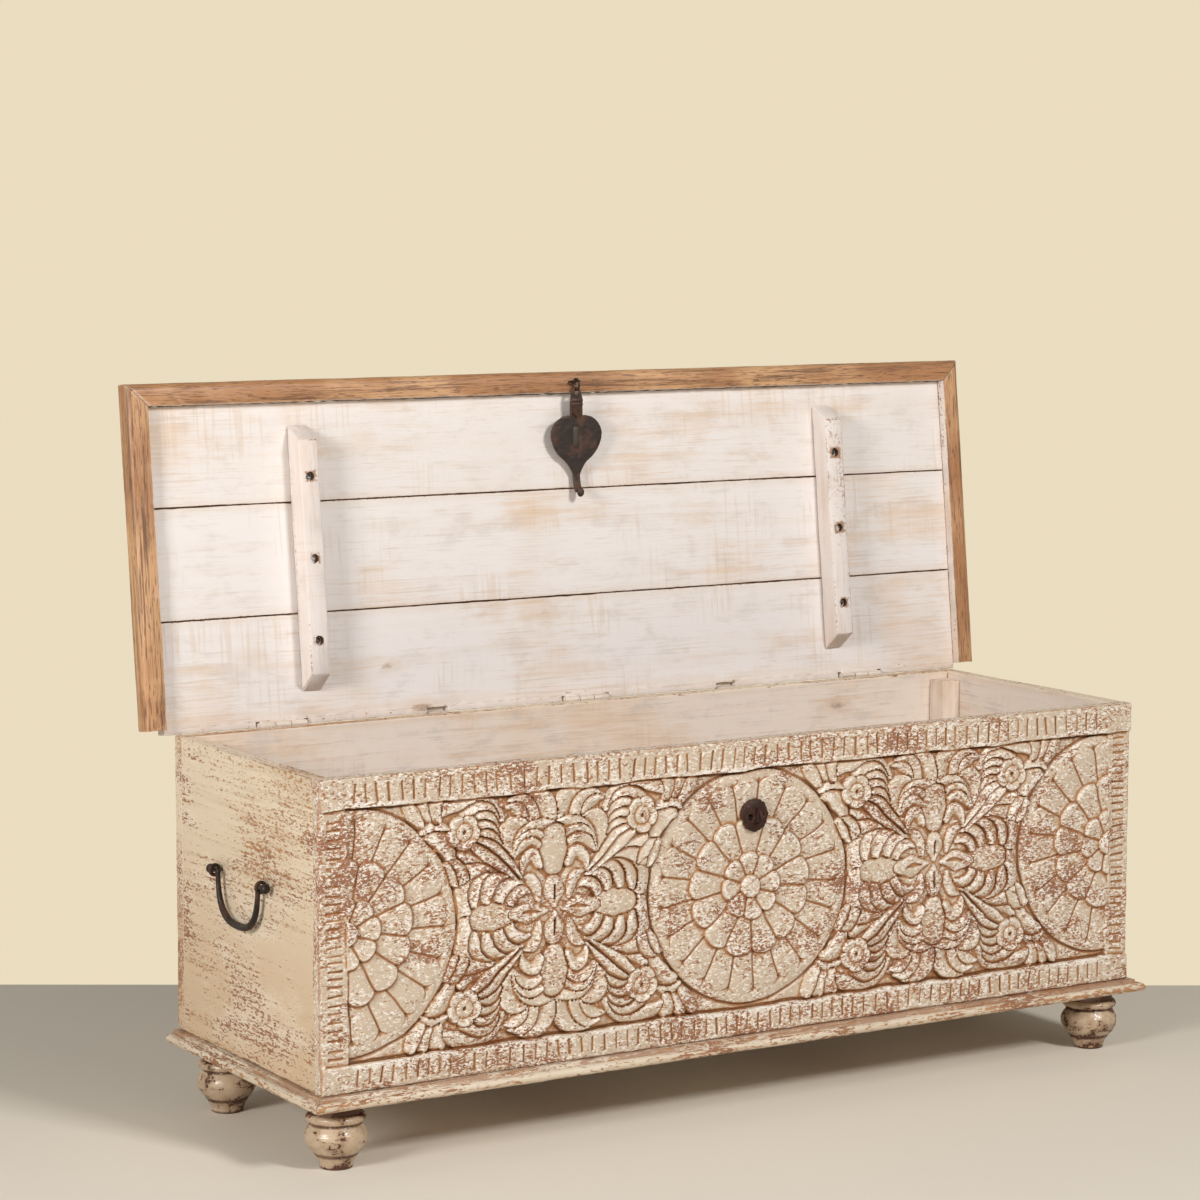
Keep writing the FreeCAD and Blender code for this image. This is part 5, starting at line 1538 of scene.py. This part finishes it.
@dataclass
class BaseFrame:
    """The moulded base, its back rail and the turned feet."""

    width: float = 75.0
    nose_radius: float = 5.6
    nose_height: float = 10.5
    step: float = 6.0
    foot_steps: int = 72
    grooves: tuple[Point, ...] = ((16.0, 2.0), (51.2, 1.8), (63.6, 1.6), (0.0, 2.2))

    def section(self, outer: float, inward: int, low: float, high: float) -> list[Point]:
        """The section of the base moulding.

        Args:
            outer: Outermost place across, in metres.
            inward: +1 or -1, the way to its inner side.
            low: Lowest place.
            high: Highest place.

        Returns:
            Points as (across, up).
        """
        nose = arc((0, self.nose_height / 2), self.nose_radius, -70, 70, 10)
        peak = max(p[0] for p in nose)
        points = [(self.width, 0)] + [((peak - a), b) for a, b in nose]
        shelf = peak - nose[-1][0] + self.step
        points += [(shelf - 1.2, self.nose_height + 0.3), (shelf, self.nose_height + 1.6)]
        top = (high - low) / MM
        points += [(shelf, top - 0.8), (shelf + 0.8, top), (self.width, top)]
        return [(outer + a * inward * MM, low + b * MM) for a, b in points]

    def build(self) -> None:
        """Make the pieces."""
        low, high = box_of("base_front_moulding")
        back = box_of("base_left_moulding")[1].y
        wear = Wear(wave=0.35, swell=100, nick=0.7, bite=12, dent=0.35)
        rails = mitred_rails("base", lambda outer, inward: self.section(outer, inward, low.z, high.z),
                             low, high, (back, back))
        for seed, (rail, axis, node) in zip((51, 51, 53), rails):
            rail.soften(0.35, 40).divide(axis, 7).wear(wear, seed)
            rail.finish(Body.CHEST, Slot.CREAM, BASE.material(GRAIN[axis]), node, seed=seed)
        timber("base_back_rail", Axis.X, Slot.CREAM, BASE, 54)
        for seed, node in enumerate(("front_left_foot", "front_right_foot", "back_left_foot",
                                     "back_right_foot"), 61):
            self.foot(node, seed)

    def foot(self, node: str, seed: int) -> None:
        """Turn one foot with its dowel.

        Args:
            node: The node that it stands for.
            seed: Choice of its chips.
        """
        low, high = box_of(node)
        centre = Vector(((low.x + high.x) / 2, (low.y + high.y) / 2, low.z))
        outline = [(0, 0), (17.6, 0), (18.6, 0.9)]
        outline += [(18.8 + 6.0 * t ** 1.6, 2 + 13.5 * t) for t in np.linspace(0, 1, 8)]
        quarter = math.pi / 2
        outline += [(24.8 + 10.4 * math.sin(t * quarter), 15.5 + 20 * t) for t in np.linspace(0.04, 1, 14)]
        outline += [(28.2 + 7.0 * math.cos(t * quarter), 35.5 + 15.5 * t) for t in np.linspace(0.08, 1, 12)]
        collar = [math.radians(a) for a in range(10, 171, 16)]
        outline += [(28.2, 51.4)] + [(28.2 + 5.6 * math.sin(a), 57.0 - 5.4 * math.cos(a)) for a in collar]
        outline += [(28.8, 62.6), (28.9, 64), (28.9, 74), (9, 74), (9, 89), (0, 89)]
        profile = [(a * MM, b * MM) for a, b in outline]
        stock = Stock.turned(node + "_turned", profile, centre, Vector((0, 0, 1)), self.foot_steps)
        stock.wear(Wear(wave=0.5, swell=45, dent=0.55, bite=8), seed)

        def hollow(spots: np.ndarray) -> np.ndarray:
            """How far below the turned outline's swell each point lies."""
            up = (spots[:, 2] - low.z) / MM
            return -sum(np.exp(-((up - level) / width) ** 2) for level, width in self.grooves)

        # The groove depth darkens the grooves in the foot paint: dirt and painted shade.
        stock.finish(Body.CHEST, Slot.CREAM, FEET.material(), node, seed=seed, hollow=hollow)


# Lid
@dataclass
class Lid:
    """The planked lid, built shut and then turned open."""

    lip: float = 12.0
    width: float = 27.0
    thickness: float = 18.0
    edge: float = 9.0
    lip_reach: float = 6.6
    tongue: float = 2.6
    tongue_half: float = 2.0
    hinge_gap: float = 1.5
    bevel: float = 31.5
    bevel_share: float = 0.62
    well_radius: float = 5.0
    well_depth: float = 7.0
    wells: tuple[float, ...] = (97.0, 194.3, 291.6)

    def __post_init__(self) -> None:
        """Read the hinge from the record."""
        hinge = next(j for j in frame["record"]["behaviour"]["joints"] if j["name"] == "lid_hinge")
        self.axis = Vector(hinge["pos_m"])
        self.angle = hinge["range_deg"][1]
        there, back = Matrix.Translation(self.axis), Matrix.Translation(-self.axis)
        self.shut = there @ Matrix.Rotation(math.radians(self.angle), 4, "X") @ back
        self.open = self.shut.inverted()

    def grain(self, axis: Axis) -> tuple[float, float, float]:
        """Turn that brings the grain of an opened piece onto X."""
        return (self.angle, 0.0, 90.0 if axis is Axis.Y else 0.0)

    def build(self) -> None:
        """Make the pieces."""
        for seed, node in enumerate(("lid_plank_back", "lid_plank_middle", "lid_plank_front"), 71):
            self.plank(node, seed)
        self.mouldings()
        for seed, node in enumerate(("left_batten", "right_batten"), 81):
            self.batten(node, seed)

    def plank(self, node: str, seed: int) -> None:
        """One plank: washed inside and oiled outside.

        Args:
            node: The node that it stands for.
            seed: Choice of its grain.
        """
        low, high = box_of(node, self.shut)
        stock = Stock.block(node + "_board", low, high).soften(0.8).margins().divide(Axis.X, 9)
        if node == "lid_plank_back":
            self.back_lip(stock, low, high)
        if node != "lid_plank_front":
            middle, half = (low.z + high.z) / 2, self.tongue_half * MM
            stock.add(Stock.block("tongue", Vector((low.x + half, low.y - self.tongue * MM, middle - half)),
                                  Vector((high.x - half, low.y + half, middle + half))))
        stock.divide(Axis.Y, 26).wear(Wear(wave=0.5, swell=110, nick=0.9, bite=10), seed)
        for face in stock.shape.faces:
            middle = face.calc_center_median()
            seam = abs(face.normal.y) > 0.7 and middle.y < high.y - 0.001
            face.material_index = int(face.normal.z > 0.7 or seam or middle.y < low.y - 2e-4)
        stock.move(self.open)
        piece = stock.finish(Body.LID, Slot.WHITE, WASH.material(self.grain(Axis.X)), node, seed=seed)
        piece.data.materials.append(BARE.material(self.grain(Axis.X)))

    def back_lip(self, stock: Stock, low: Vector, high: Vector) -> None:
        """Carry the back edge down to the chest's rim between the hinges and the lid stops.

        Args:
            stock: The back plank.
            low: Its lowest corner.
            high: Its highest corner.
        """
        gaps = sorted({(round(min(c), 4), round(max(c), 4)) for node in ("hinge_pins", "lid_stops")
                       for c in loose_runs(node)})
        starts = [low.x] + [gap[1] + self.hinge_gap * MM for gap in gaps]
        ends = [gap[0] - self.hinge_gap * MM for gap in gaps] + [high.x]
        for start, end in zip(starts, ends):
            lip = Stock.block("lip", Vector((start, high.y - 0.006, low.z)),
                              Vector((end, high.y + self.lip_reach * MM, high.z)))
            stock.add(lip.soften(1.1).divide(Axis.X, 9))

    def section(self, outer: float, inward: int) -> list[Point]:
        """The section of the lid moulding.

        Args:
            outer: Outermost place across, in metres.
            inward: +1 or -1, the way to its inner side.

        Returns:
            Points as (across, up).
        """
        low = arc((self.edge, self.edge - self.lip), self.edge, 270, 180, 8)
        top = arc((self.edge, self.thickness - self.edge), self.edge, 180, 90, 8)
        points = [(self.width, -self.lip)] + low + top + [(self.width, self.thickness)]
        return [(outer + a * inward * MM, self.axis.z + b * MM) for a, b in points]

    def mouldings(self) -> None:
        """Make the three mouldings."""
        wear = Wear(wave=0.4, swell=120, nick=0.8, bite=10, dent=0.25)
        low, high = box_of("lid_front_moulding", self.shut)
        backs = [box_of(f"lid_{mark}_moulding", self.shut)[1].y for mark in ("left", "right")]
        rails = mitred_rails("lid", self.section, low, high, backs)
        for seed, (rail, axis, node) in zip((91, 91, 93), rails):
            rail.soften(0.8, 50).divide(axis, 7).wear(wear, seed)
            inward = (0, 1, 0) if axis is Axis.X else (-math.copysign(1, box_of(node)[0].x), 0, 0)
            rail.shape.normal_update()
            for face in rail.shape.faces:
                face.material_index = int(face.normal.dot(Vector(inward)) > 0.9)
            oiled, washed = MOULDING.material(self.grain(axis)), WASH.material(self.grain(axis))
            piece = rail.move(self.open).finish(Body.LID, Slot.BROWN, oiled, node, seed=seed)
            piece.data.materials.append(washed)

    def batten(self, node: str, seed: int) -> None:
        """One batten with its bevelled ends and screw wells.

        Args:
            node: The node that it stands for.
            seed: Choice of its grain.
        """
        low, high = box_of(node, self.shut)
        stock = Stock.block(node + "_bar", low, high)
        shape = stock.shape
        for end in (low.y, high.y):
            inward = 1 if end == low.y else -1
            foot = [v for v in shape.verts if abs(v.co.y - end) < 1e-6 and v.co.z < low.z + 1e-6]
            for vert in foot:
                vert.co.y += inward * (self.bevel * self.bevel_share) * MM
        stock.soften(2.2, segments=3)
        middle = (low.x + high.x) / 2
        for place in self.wells:
            self.well(stock, Vector((middle, self.axis.y - place * MM, low.z)))
        stock.divide(Axis.Y, 9).wear(Wear(wave=0.5, swell=60, nick=1.0, bite=11), seed).move(self.open)
        piece = stock.finish(Body.LID, Slot.WHITE, WASH_BAR.material(self.grain(Axis.Y)), node, seed=seed)
        # The wells take the near-black finish: bare wood and painted shade.
        piece.data.materials.append(WELL_WOOD_AND_SHADE.material(self.grain(Axis.Y)))

    def well(self, stock: Stock, at: Vector) -> None:
        """Sink one screw well into the batten's face.

        Args:
            stock: The batten.
            at: Middle of the well's mouth.
        """
        shape, radius = stock.shape, self.well_radius * MM
        stock.slice(Axis.Y, [at.y - radius * 1.7, at.y + radius * 1.7])
        shape.faces.ensure_lookup_table()
        below = [f for f in shape.faces if f.normal.z < -0.9]
        face = min(below, key=lambda f: (f.calc_center_median() - at).length)
        mouth = Matrix.Translation(Vector((at.x, at.y, face.verts[0].co.z)))
        made = bmesh.ops.create_circle(shape, segments=24, radius=radius, matrix=mouth)["verts"]
        rim = {e for v in made for e in v.link_edges}
        outer = list(face.edges)
        bmesh.ops.delete(shape, geom=[face], context="FACES_ONLY")
        bmesh.ops.triangle_fill(shape, use_beauty=True, edges=outer + list(rim), normal=(0, 0, -1))
        inside = [f for f in shape.faces if len(f.verts) == 3 and all(v in made for v in f.verts)]
        bmesh.ops.delete(shape, geom=inside, context="FACES_ONLY")
        grown = bmesh.ops.extrude_edge_only(shape, edges=[e for e in rim if e.is_valid])["geom"]
        for vert in kind_of(grown, bmesh.types.BMVert):
            vert.co.z += self.well_depth * MM
        ring = [e for e in kind_of(grown, bmesh.types.BMEdge) if e.is_boundary]
        bmesh.ops.contextual_create(shape, geom=ring, mat_nr=1)
        for face in kind_of(grown, bmesh.types.BMFace):
            face.material_index = 1
        bmesh.ops.recalc_face_normals(shape, faces=shape.faces)
        turns = np.linspace(0, math.tau, 13)
        lip = np.array([[at.x + radius * math.cos(t), at.y + radius * math.sin(t), at.z] for t in turns])
        stock.creases = np.concatenate([stock.creases, np.stack([lip[:-1], lip[1:]], axis=1)])


# Ironwork
def fitting(node: str, body: Body, seed: int, soften: float = 0.35, slot: Slot = Slot.IRON,
            finish: Finish = IRON, wear: Wear = Wear(0.05, 20, 0.25, 4, 0.12)) -> bpy.types.Object:
    """A metal piece shaped from a merged copy of its CAD node.

    Args:
        node: The node.
        body: Body that it rides on.
        seed: Choice of its rust.
        soften: Rounding of its edges, in millimetres.
        slot: Material slot.
        finish: Its finish.
        wear: How its surface has moved.

    Returns:
        The piece.
    """
    stock = Stock.copied(node + "_forged" if slot is Slot.IRON else node + "_cut", node)
    return stock.soften(soften, 35).wear(wear, seed).finish(body, slot, finish.material(), node, seed=seed)


@dataclass
class Hasp:
    """The heart-shaped hasp on its ring: eye, banded and twisted strap, plate and curled tail."""

    strap_half: float = 8.0
    strap_head: float = 16.5
    strap_end: float = 30.0
    bands: tuple[float, ...] = (0.0, 5.2)
    strands: int = 9
    first_strand: float = 7.4
    strand_pitch: float = 2.1
    point: float = 22.5
    strand_half: float = 0.75
    strand_lean: float = 38.0
    bulb_radius: float = 5.2
    tail_cut: float = 5.5

    def build(self) -> None:
        """Make the pieces."""
        fitting("hasp_ring", Body.RING, 101, 0.2)
        fitting("hasp_staple", Body.LID, 102, 0.2)
        low, high = box_of("hasp")
        plate = Stock.copied("hasp_forged", "hasp").soften(0.6, 35)
        shape = plate.shape
        cut_plane(shape, (0, 0, low.z + self.tail_cut * MM), (0, 0, -1), clear=True)
        bmesh.ops.triangulate(shape, faces=[f for f in shape.faces if len(f.verts) > 4])
        long = [e for e in shape.edges if e.calc_length() > 6 * MM]
        bmesh.ops.subdivide_edges(shape, edges=long, cuts=3, use_grid_fill=True)
        plate.wear(Wear(0.12, 16, 0.4, 5, 0.25), 103)
        face = self.face(high.z)
        top = high.z - self.strap_head * MM
        for strand in range(self.strands):
            drop = (self.first_strand + self.strand_pitch * strand) * MM
            plate.add(self.strand(Vector((0, face, top - drop)), top - self.point * MM))
        for level in self.bands:
            plate.add(self.band(Vector((0, face, top - level * MM))))
        plate.add(self.bulb(low))
        plate.finish(Body.HASP, Slot.IRON, HASP_IRON.material(), "hasp", seed=103)

    def face(self, top: float) -> float:
        """Place along Y of the strap's front face, below the top of the hasp."""
        spots = [v.co for v in frame["nodes"]["hasp"].data.vertices if v.co.z > top - self.strap_end * MM]
        return min(s.y for s in spots)

    def strand(self, at: Vector, foot: float) -> Stock:
        """One slanting ridge of the rope pattern, trimmed to the strap and to the pattern's pointed foot.

        Args:
            at: Middle of its back.
            foot: Height of the pattern's point.

        Returns:
            The stock.
        """
        half = Vector((self.strap_half * 1.6, 0.9, self.strand_half)) * MM
        stock = Stock.block("strand", -half, half).soften(0.5, segments=2)
        stock.move(Matrix.Translation(at) @ Matrix.Rotation(math.radians(self.strand_lean), 4, "Y"))
        side = (self.strap_half - 0.6) * MM
        planes = [((side, 0, 0), (1, 0, 0)), ((-side, 0, 0), (-1, 0, 0)), ((0, 0, foot), (1, 0, -1)),
                  ((0, 0, foot), (-1, 0, -1)), ((0, 0, at.z + 0.0075), (0, 0, 1))]
        for place, way in planes:
            cut_plane(stock.shape, place, way, clear=True)
        return stock

    def bulb(self, low: Vector) -> Stock:
        """The round end of the curled tail.

        Args:
            low: Lowest corner of the hasp.

        Returns:
            The stock.
        """
        spots = [v.co for v in frame["nodes"]["hasp"].data.vertices if v.co.z < low.z + 3 * MM]
        middle = sum(spots, Vector()) / len(spots)
        shape = bmesh.new()
        bmesh.ops.create_uvsphere(shape, u_segments=24, v_segments=14, radius=self.bulb_radius * MM)
        bmesh.ops.scale(shape, vec=(0.95, 0.55, 1.1), verts=shape.verts)
        rise = low.z + self.bulb_radius * 1.12 * MM
        bmesh.ops.translate(shape, vec=(middle.x, middle.y, rise), verts=shape.verts)
        return Stock("bulb", shape)

    def band(self, at: Vector) -> Stock:
        """A plain raised band across the strap.

        Args:
            at: Middle of its back.

        Returns:
            The stock.
        """
        half = Vector((self.strap_half, 1.3, 1.9)) * MM
        return Stock.block("band", at - half, at + half).soften(0.8, segments=3)


@dataclass
class Lock:
    """The boss plate with its ragged edge and the padlock staple through it."""

    flat: float = 0.85
    rings: int = 18
    steps: int = 72
    skirt: float = 4.6
    rough: float = 1.3
    hole_place: float = 7.4
    hole_radius: float = 3.4
    hole_depth: float = 4.5

    def build(self) -> None:
        """Make the pieces."""
        fitting("lock_staple", Body.CHEST, 111, 0.2, finish=RUSTY_IRON)
        low, high = box_of("lock_boss")
        centre = Vector((0, low.y, (low.z + high.z) / 2))
        wide, tall = (high.x - low.x) / 2, (high.z - low.z) / 2
        back = high.y + self.skirt * MM
        shape = bmesh.new()
        bmesh.ops.create_circle(shape, segments=self.steps, radius=1.0, cap_ends=True,
                                matrix=Matrix.Rotation(math.radians(90), 4, "X"))
        face = list(shape.faces)
        for _ in range(self.rings):
            bmesh.ops.inset_region(shape, faces=face, thickness=self.flat / self.rings, use_boundary=True)
        rim = [e for e in shape.edges if e.is_boundary]
        grown = bmesh.ops.extrude_edge_only(shape, edges=rim)["geom"]
        skirt = set(kind_of(grown, bmesh.types.BMVert))
        rng = np.random.default_rng(8)
        ragged = rng.uniform(-1, 1, self.steps)
        for vert in shape.verts:
            turn = math.atan2(vert.co.z, vert.co.x)
            out = min(vert.co.xz.length, 1.0)
            point = 1 + 0.05 * math.cos(3 * (turn + math.pi / 2))
            notch = ragged[int((turn / math.tau + 0.5) * self.steps) % self.steps]
            edge = 1 - self.rough * MM / wide * abs(notch)
            spot = np.array([[vert.co.x * wide, 0, vert.co.z * tall]])
            dome = (high.y - low.y) * (1 - (1 - out ** 2.4) ** 0.75)
            dome += self.hole_depth * MM * float(self.holes(spot)[0])
            vert.co.x *= wide * edge * min(point, 1.0)
            vert.co.z *= tall * edge
            vert.co.y = back if vert in skirt else dome
            vert.co += Vector((0, 0 if vert in skirt else centre.y, centre.z))
        bmesh.ops.contextual_create(shape, geom=[e for e in shape.edges if e.is_boundary])
        bmesh.ops.recalc_face_normals(shape, faces=shape.faces)
        stock = Stock("lock_boss_forged", shape).soften(0.3, 40)
        stock.wear(Wear(0.15, 14, 0.3, 4, 0.35), 112)
        # The cavity of the two holes paints their shallow floors near black: painted shade standing in for
        # deep holes.
        stock.finish(Body.CHEST, Slot.IRON, RUSTY_IRON.material(), "lock_boss", seed=112,
                     hollow=lambda spots: -self.holes(spots - np.array(centre)))

    def holes(self, spots: np.ndarray) -> np.ndarray:
        """Depth of the two holes beside the staple.

        Args:
            spots: Places about the middle of the boss, one row each.

        Returns:
            A share from 0 to 1 for each place.
        """
        away = np.hypot(np.abs(spots[:, 0]) - self.hole_place * MM, spots[:, 2] + 1.5 * MM)
        return np.exp(-(away / (self.hole_radius * MM)) ** 4)


@dataclass
class Hardware:
    """Handles, hinges, lid stops and screws."""

    iron: tuple[tuple[str, Body], ...] = (
        ("left_handle_eyes", Body.CHEST), ("right_handle_eyes", Body.CHEST), ("left_bail", Body.LEFT),
        ("right_bail", Body.RIGHT), ("batten_screws", Body.LID))
    painted: tuple[tuple[str, Body], ...] = (
        ("hinge_wall_leaves", Body.CHEST), ("hinge_pins", Body.CHEST), ("lid_stops", Body.CHEST),
        ("hinge_lid_leaves", Body.LID))
    steel: tuple[tuple[str, Body], ...] = (
        ("hinge_wall_screws", Body.CHEST), ("lid_stop_screws", Body.CHEST), ("hinge_lid_screws", Body.LID))

    def build(self) -> None:
        """Make the pieces."""
        for seed, (node, body) in enumerate(self.iron, 121):
            fitting(node, body, seed, 0.3)
        for seed, (node, body) in enumerate(self.painted, 131):
            fitting(node, body, seed, 0.3, finish=PAINTED_IRON)
        for seed, (node, body) in enumerate(self.steel, 141):
            fitting(node, body, seed, 0.15, Slot.STEEL, STEEL, Wear(0.0, 20, 0.1, 3, 0.05))


# Studio
@dataclass
class Studio:
    """Pale floor and backdrop, soft light and the photograph's camera."""

    place: tuple[float, float, float] = (-2.22912, -3.51620, 1.05667)
    yaw: float = 31.41817
    pitch: float = 6.56771
    roll: float = -0.04097
    lens: float = 104.577
    sensor: float = 36.0
    clip_end: float = 60.0
    wall: tuple = (0.83, 0.72, 0.53)
    floor: tuple = (0.80, 0.74, 0.64)
    light: tuple = (1.0, 0.985, 0.965)
    sky: tuple = (1.0, 0.99, 0.975)
    floor_half: float = 8.0
    floor_end: float = 4.625
    ambient: float = 0.18
    front: float = 98.0
    left: float = 96.0

    def build(self) -> None:
        """Set the stage."""
        bpy.context.scene.view_settings.view_transform = "Standard"
        self.lay_floor()
        self.light_world()
        self.lamp("front", (0.65, -3.45, 2.6), (0, 0, 0.45), 0.7, self.front)
        self.lamp("left", (-3.7, -1.4, 1.6), (0, 0, 0.4), 1.0, self.left)
        self.camera()

    def camera(self) -> None:
        """Stand the camera where the photograph was taken."""
        scene = bpy.context.scene
        data = bpy.data.cameras.new("camera")
        data.lens, data.sensor_width, data.clip_end = self.lens, self.sensor, self.clip_end
        camera = bpy.data.objects.new("camera", data)
        camera.location = self.place
        camera.rotation_euler = [math.radians(v) for v in (90 - self.pitch, self.roll, -self.yaw)]
        scene.collection.objects.link(camera)
        scene.camera = camera

    def lamp(self, name: str, at: Sequence[float], aim: Sequence[float], size: float,
             power: float) -> None:
        """Hang one soft lamp.

        Args:
            name: Its name.
            at: Its place.
            aim: Where it points.
            size: Its side, in metres.
            power: Its power, in watts.
        """
        data = bpy.data.lights.new(name, "AREA")
        data.shape, data.size, data.energy, data.color = "SQUARE", size, power, self.light
        lamp = bpy.data.objects.new(name, data)
        lamp.location = at
        lamp.rotation_euler = (Vector(aim) - Vector(at)).to_track_quat("-Z", "Y").to_euler()
        bpy.context.scene.collection.objects.link(lamp)

    def lay_floor(self) -> None:
        """Lay the pale floor, turned to stand square to the camera."""
        shape = bmesh.new()
        bmesh.ops.create_grid(shape, x_segments=1, y_segments=1, size=self.floor_half)
        bmesh.ops.translate(shape, vec=(0, self.floor_end - self.floor_half, 0), verts=shape.verts)
        turn = Matrix.Rotation(math.radians(-self.yaw), 4, "Z")
        bmesh.ops.transform(shape, matrix=Matrix.Translation((self.place[0], self.place[1], 0)) @ turn,
                            verts=shape.verts)
        mesh = bpy.data.meshes.new("floor")
        shape.to_mesh(mesh)
        shape.free()
        graph = Graph(bpy.data.materials.new("Floor"))
        cloud = graph.noise(graph.place(), 1.5, 3.0)
        tone = graph.mix(cloud.step(0.3, 0.7) * 0.25, self.floor, [v * 0.93 for v in self.floor])
        mesh.materials.append(graph.surface(Base_Color=tone, Roughness=0.75))
        floor = bpy.data.objects.new("floor", mesh)
        bpy.context.scene.collection.objects.link(floor)

    def light_world(self) -> None:
        """Light the object plainly from all around and show the pale wall behind it."""
        world = bpy.data.worlds.new("World")
        bpy.context.scene.world = world
        sky = Graph(world)
        seen = sky.node("ShaderNodeLightPath", out="Is Camera Ray")
        for kind in ("Is Glossy Ray", "Is Transmission Ray"):
            seen = sky.node("ShaderNodeMath", {"operation": "MAXIMUM"}, seen,
                            sky.node("ShaderNodeLightPath", out=kind))
        plain = sky.node("ShaderNodeBackground", None, self.sky, self.ambient)
        shown = sky.node("ShaderNodeBackground", None, self.wall, 1.0)
        both = sky.node("ShaderNodeMixShader", None, seen, plain, shown)
        sky.node("ShaderNodeOutputWorld", None, both)


def main() -> None:
    """Build the dressed chest and its studio."""
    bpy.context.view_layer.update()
    for part in (ChestBody(), BaseFrame(), Lid(), Hasp(), Lock(), Hardware(), Studio()):
        LOG.info("building %s", type(part).__name__)
        part.build()


if __name__ == "__main__":
    logging.basicConfig(level=logging.INFO, format="%(name)s: %(message)s")
    main()
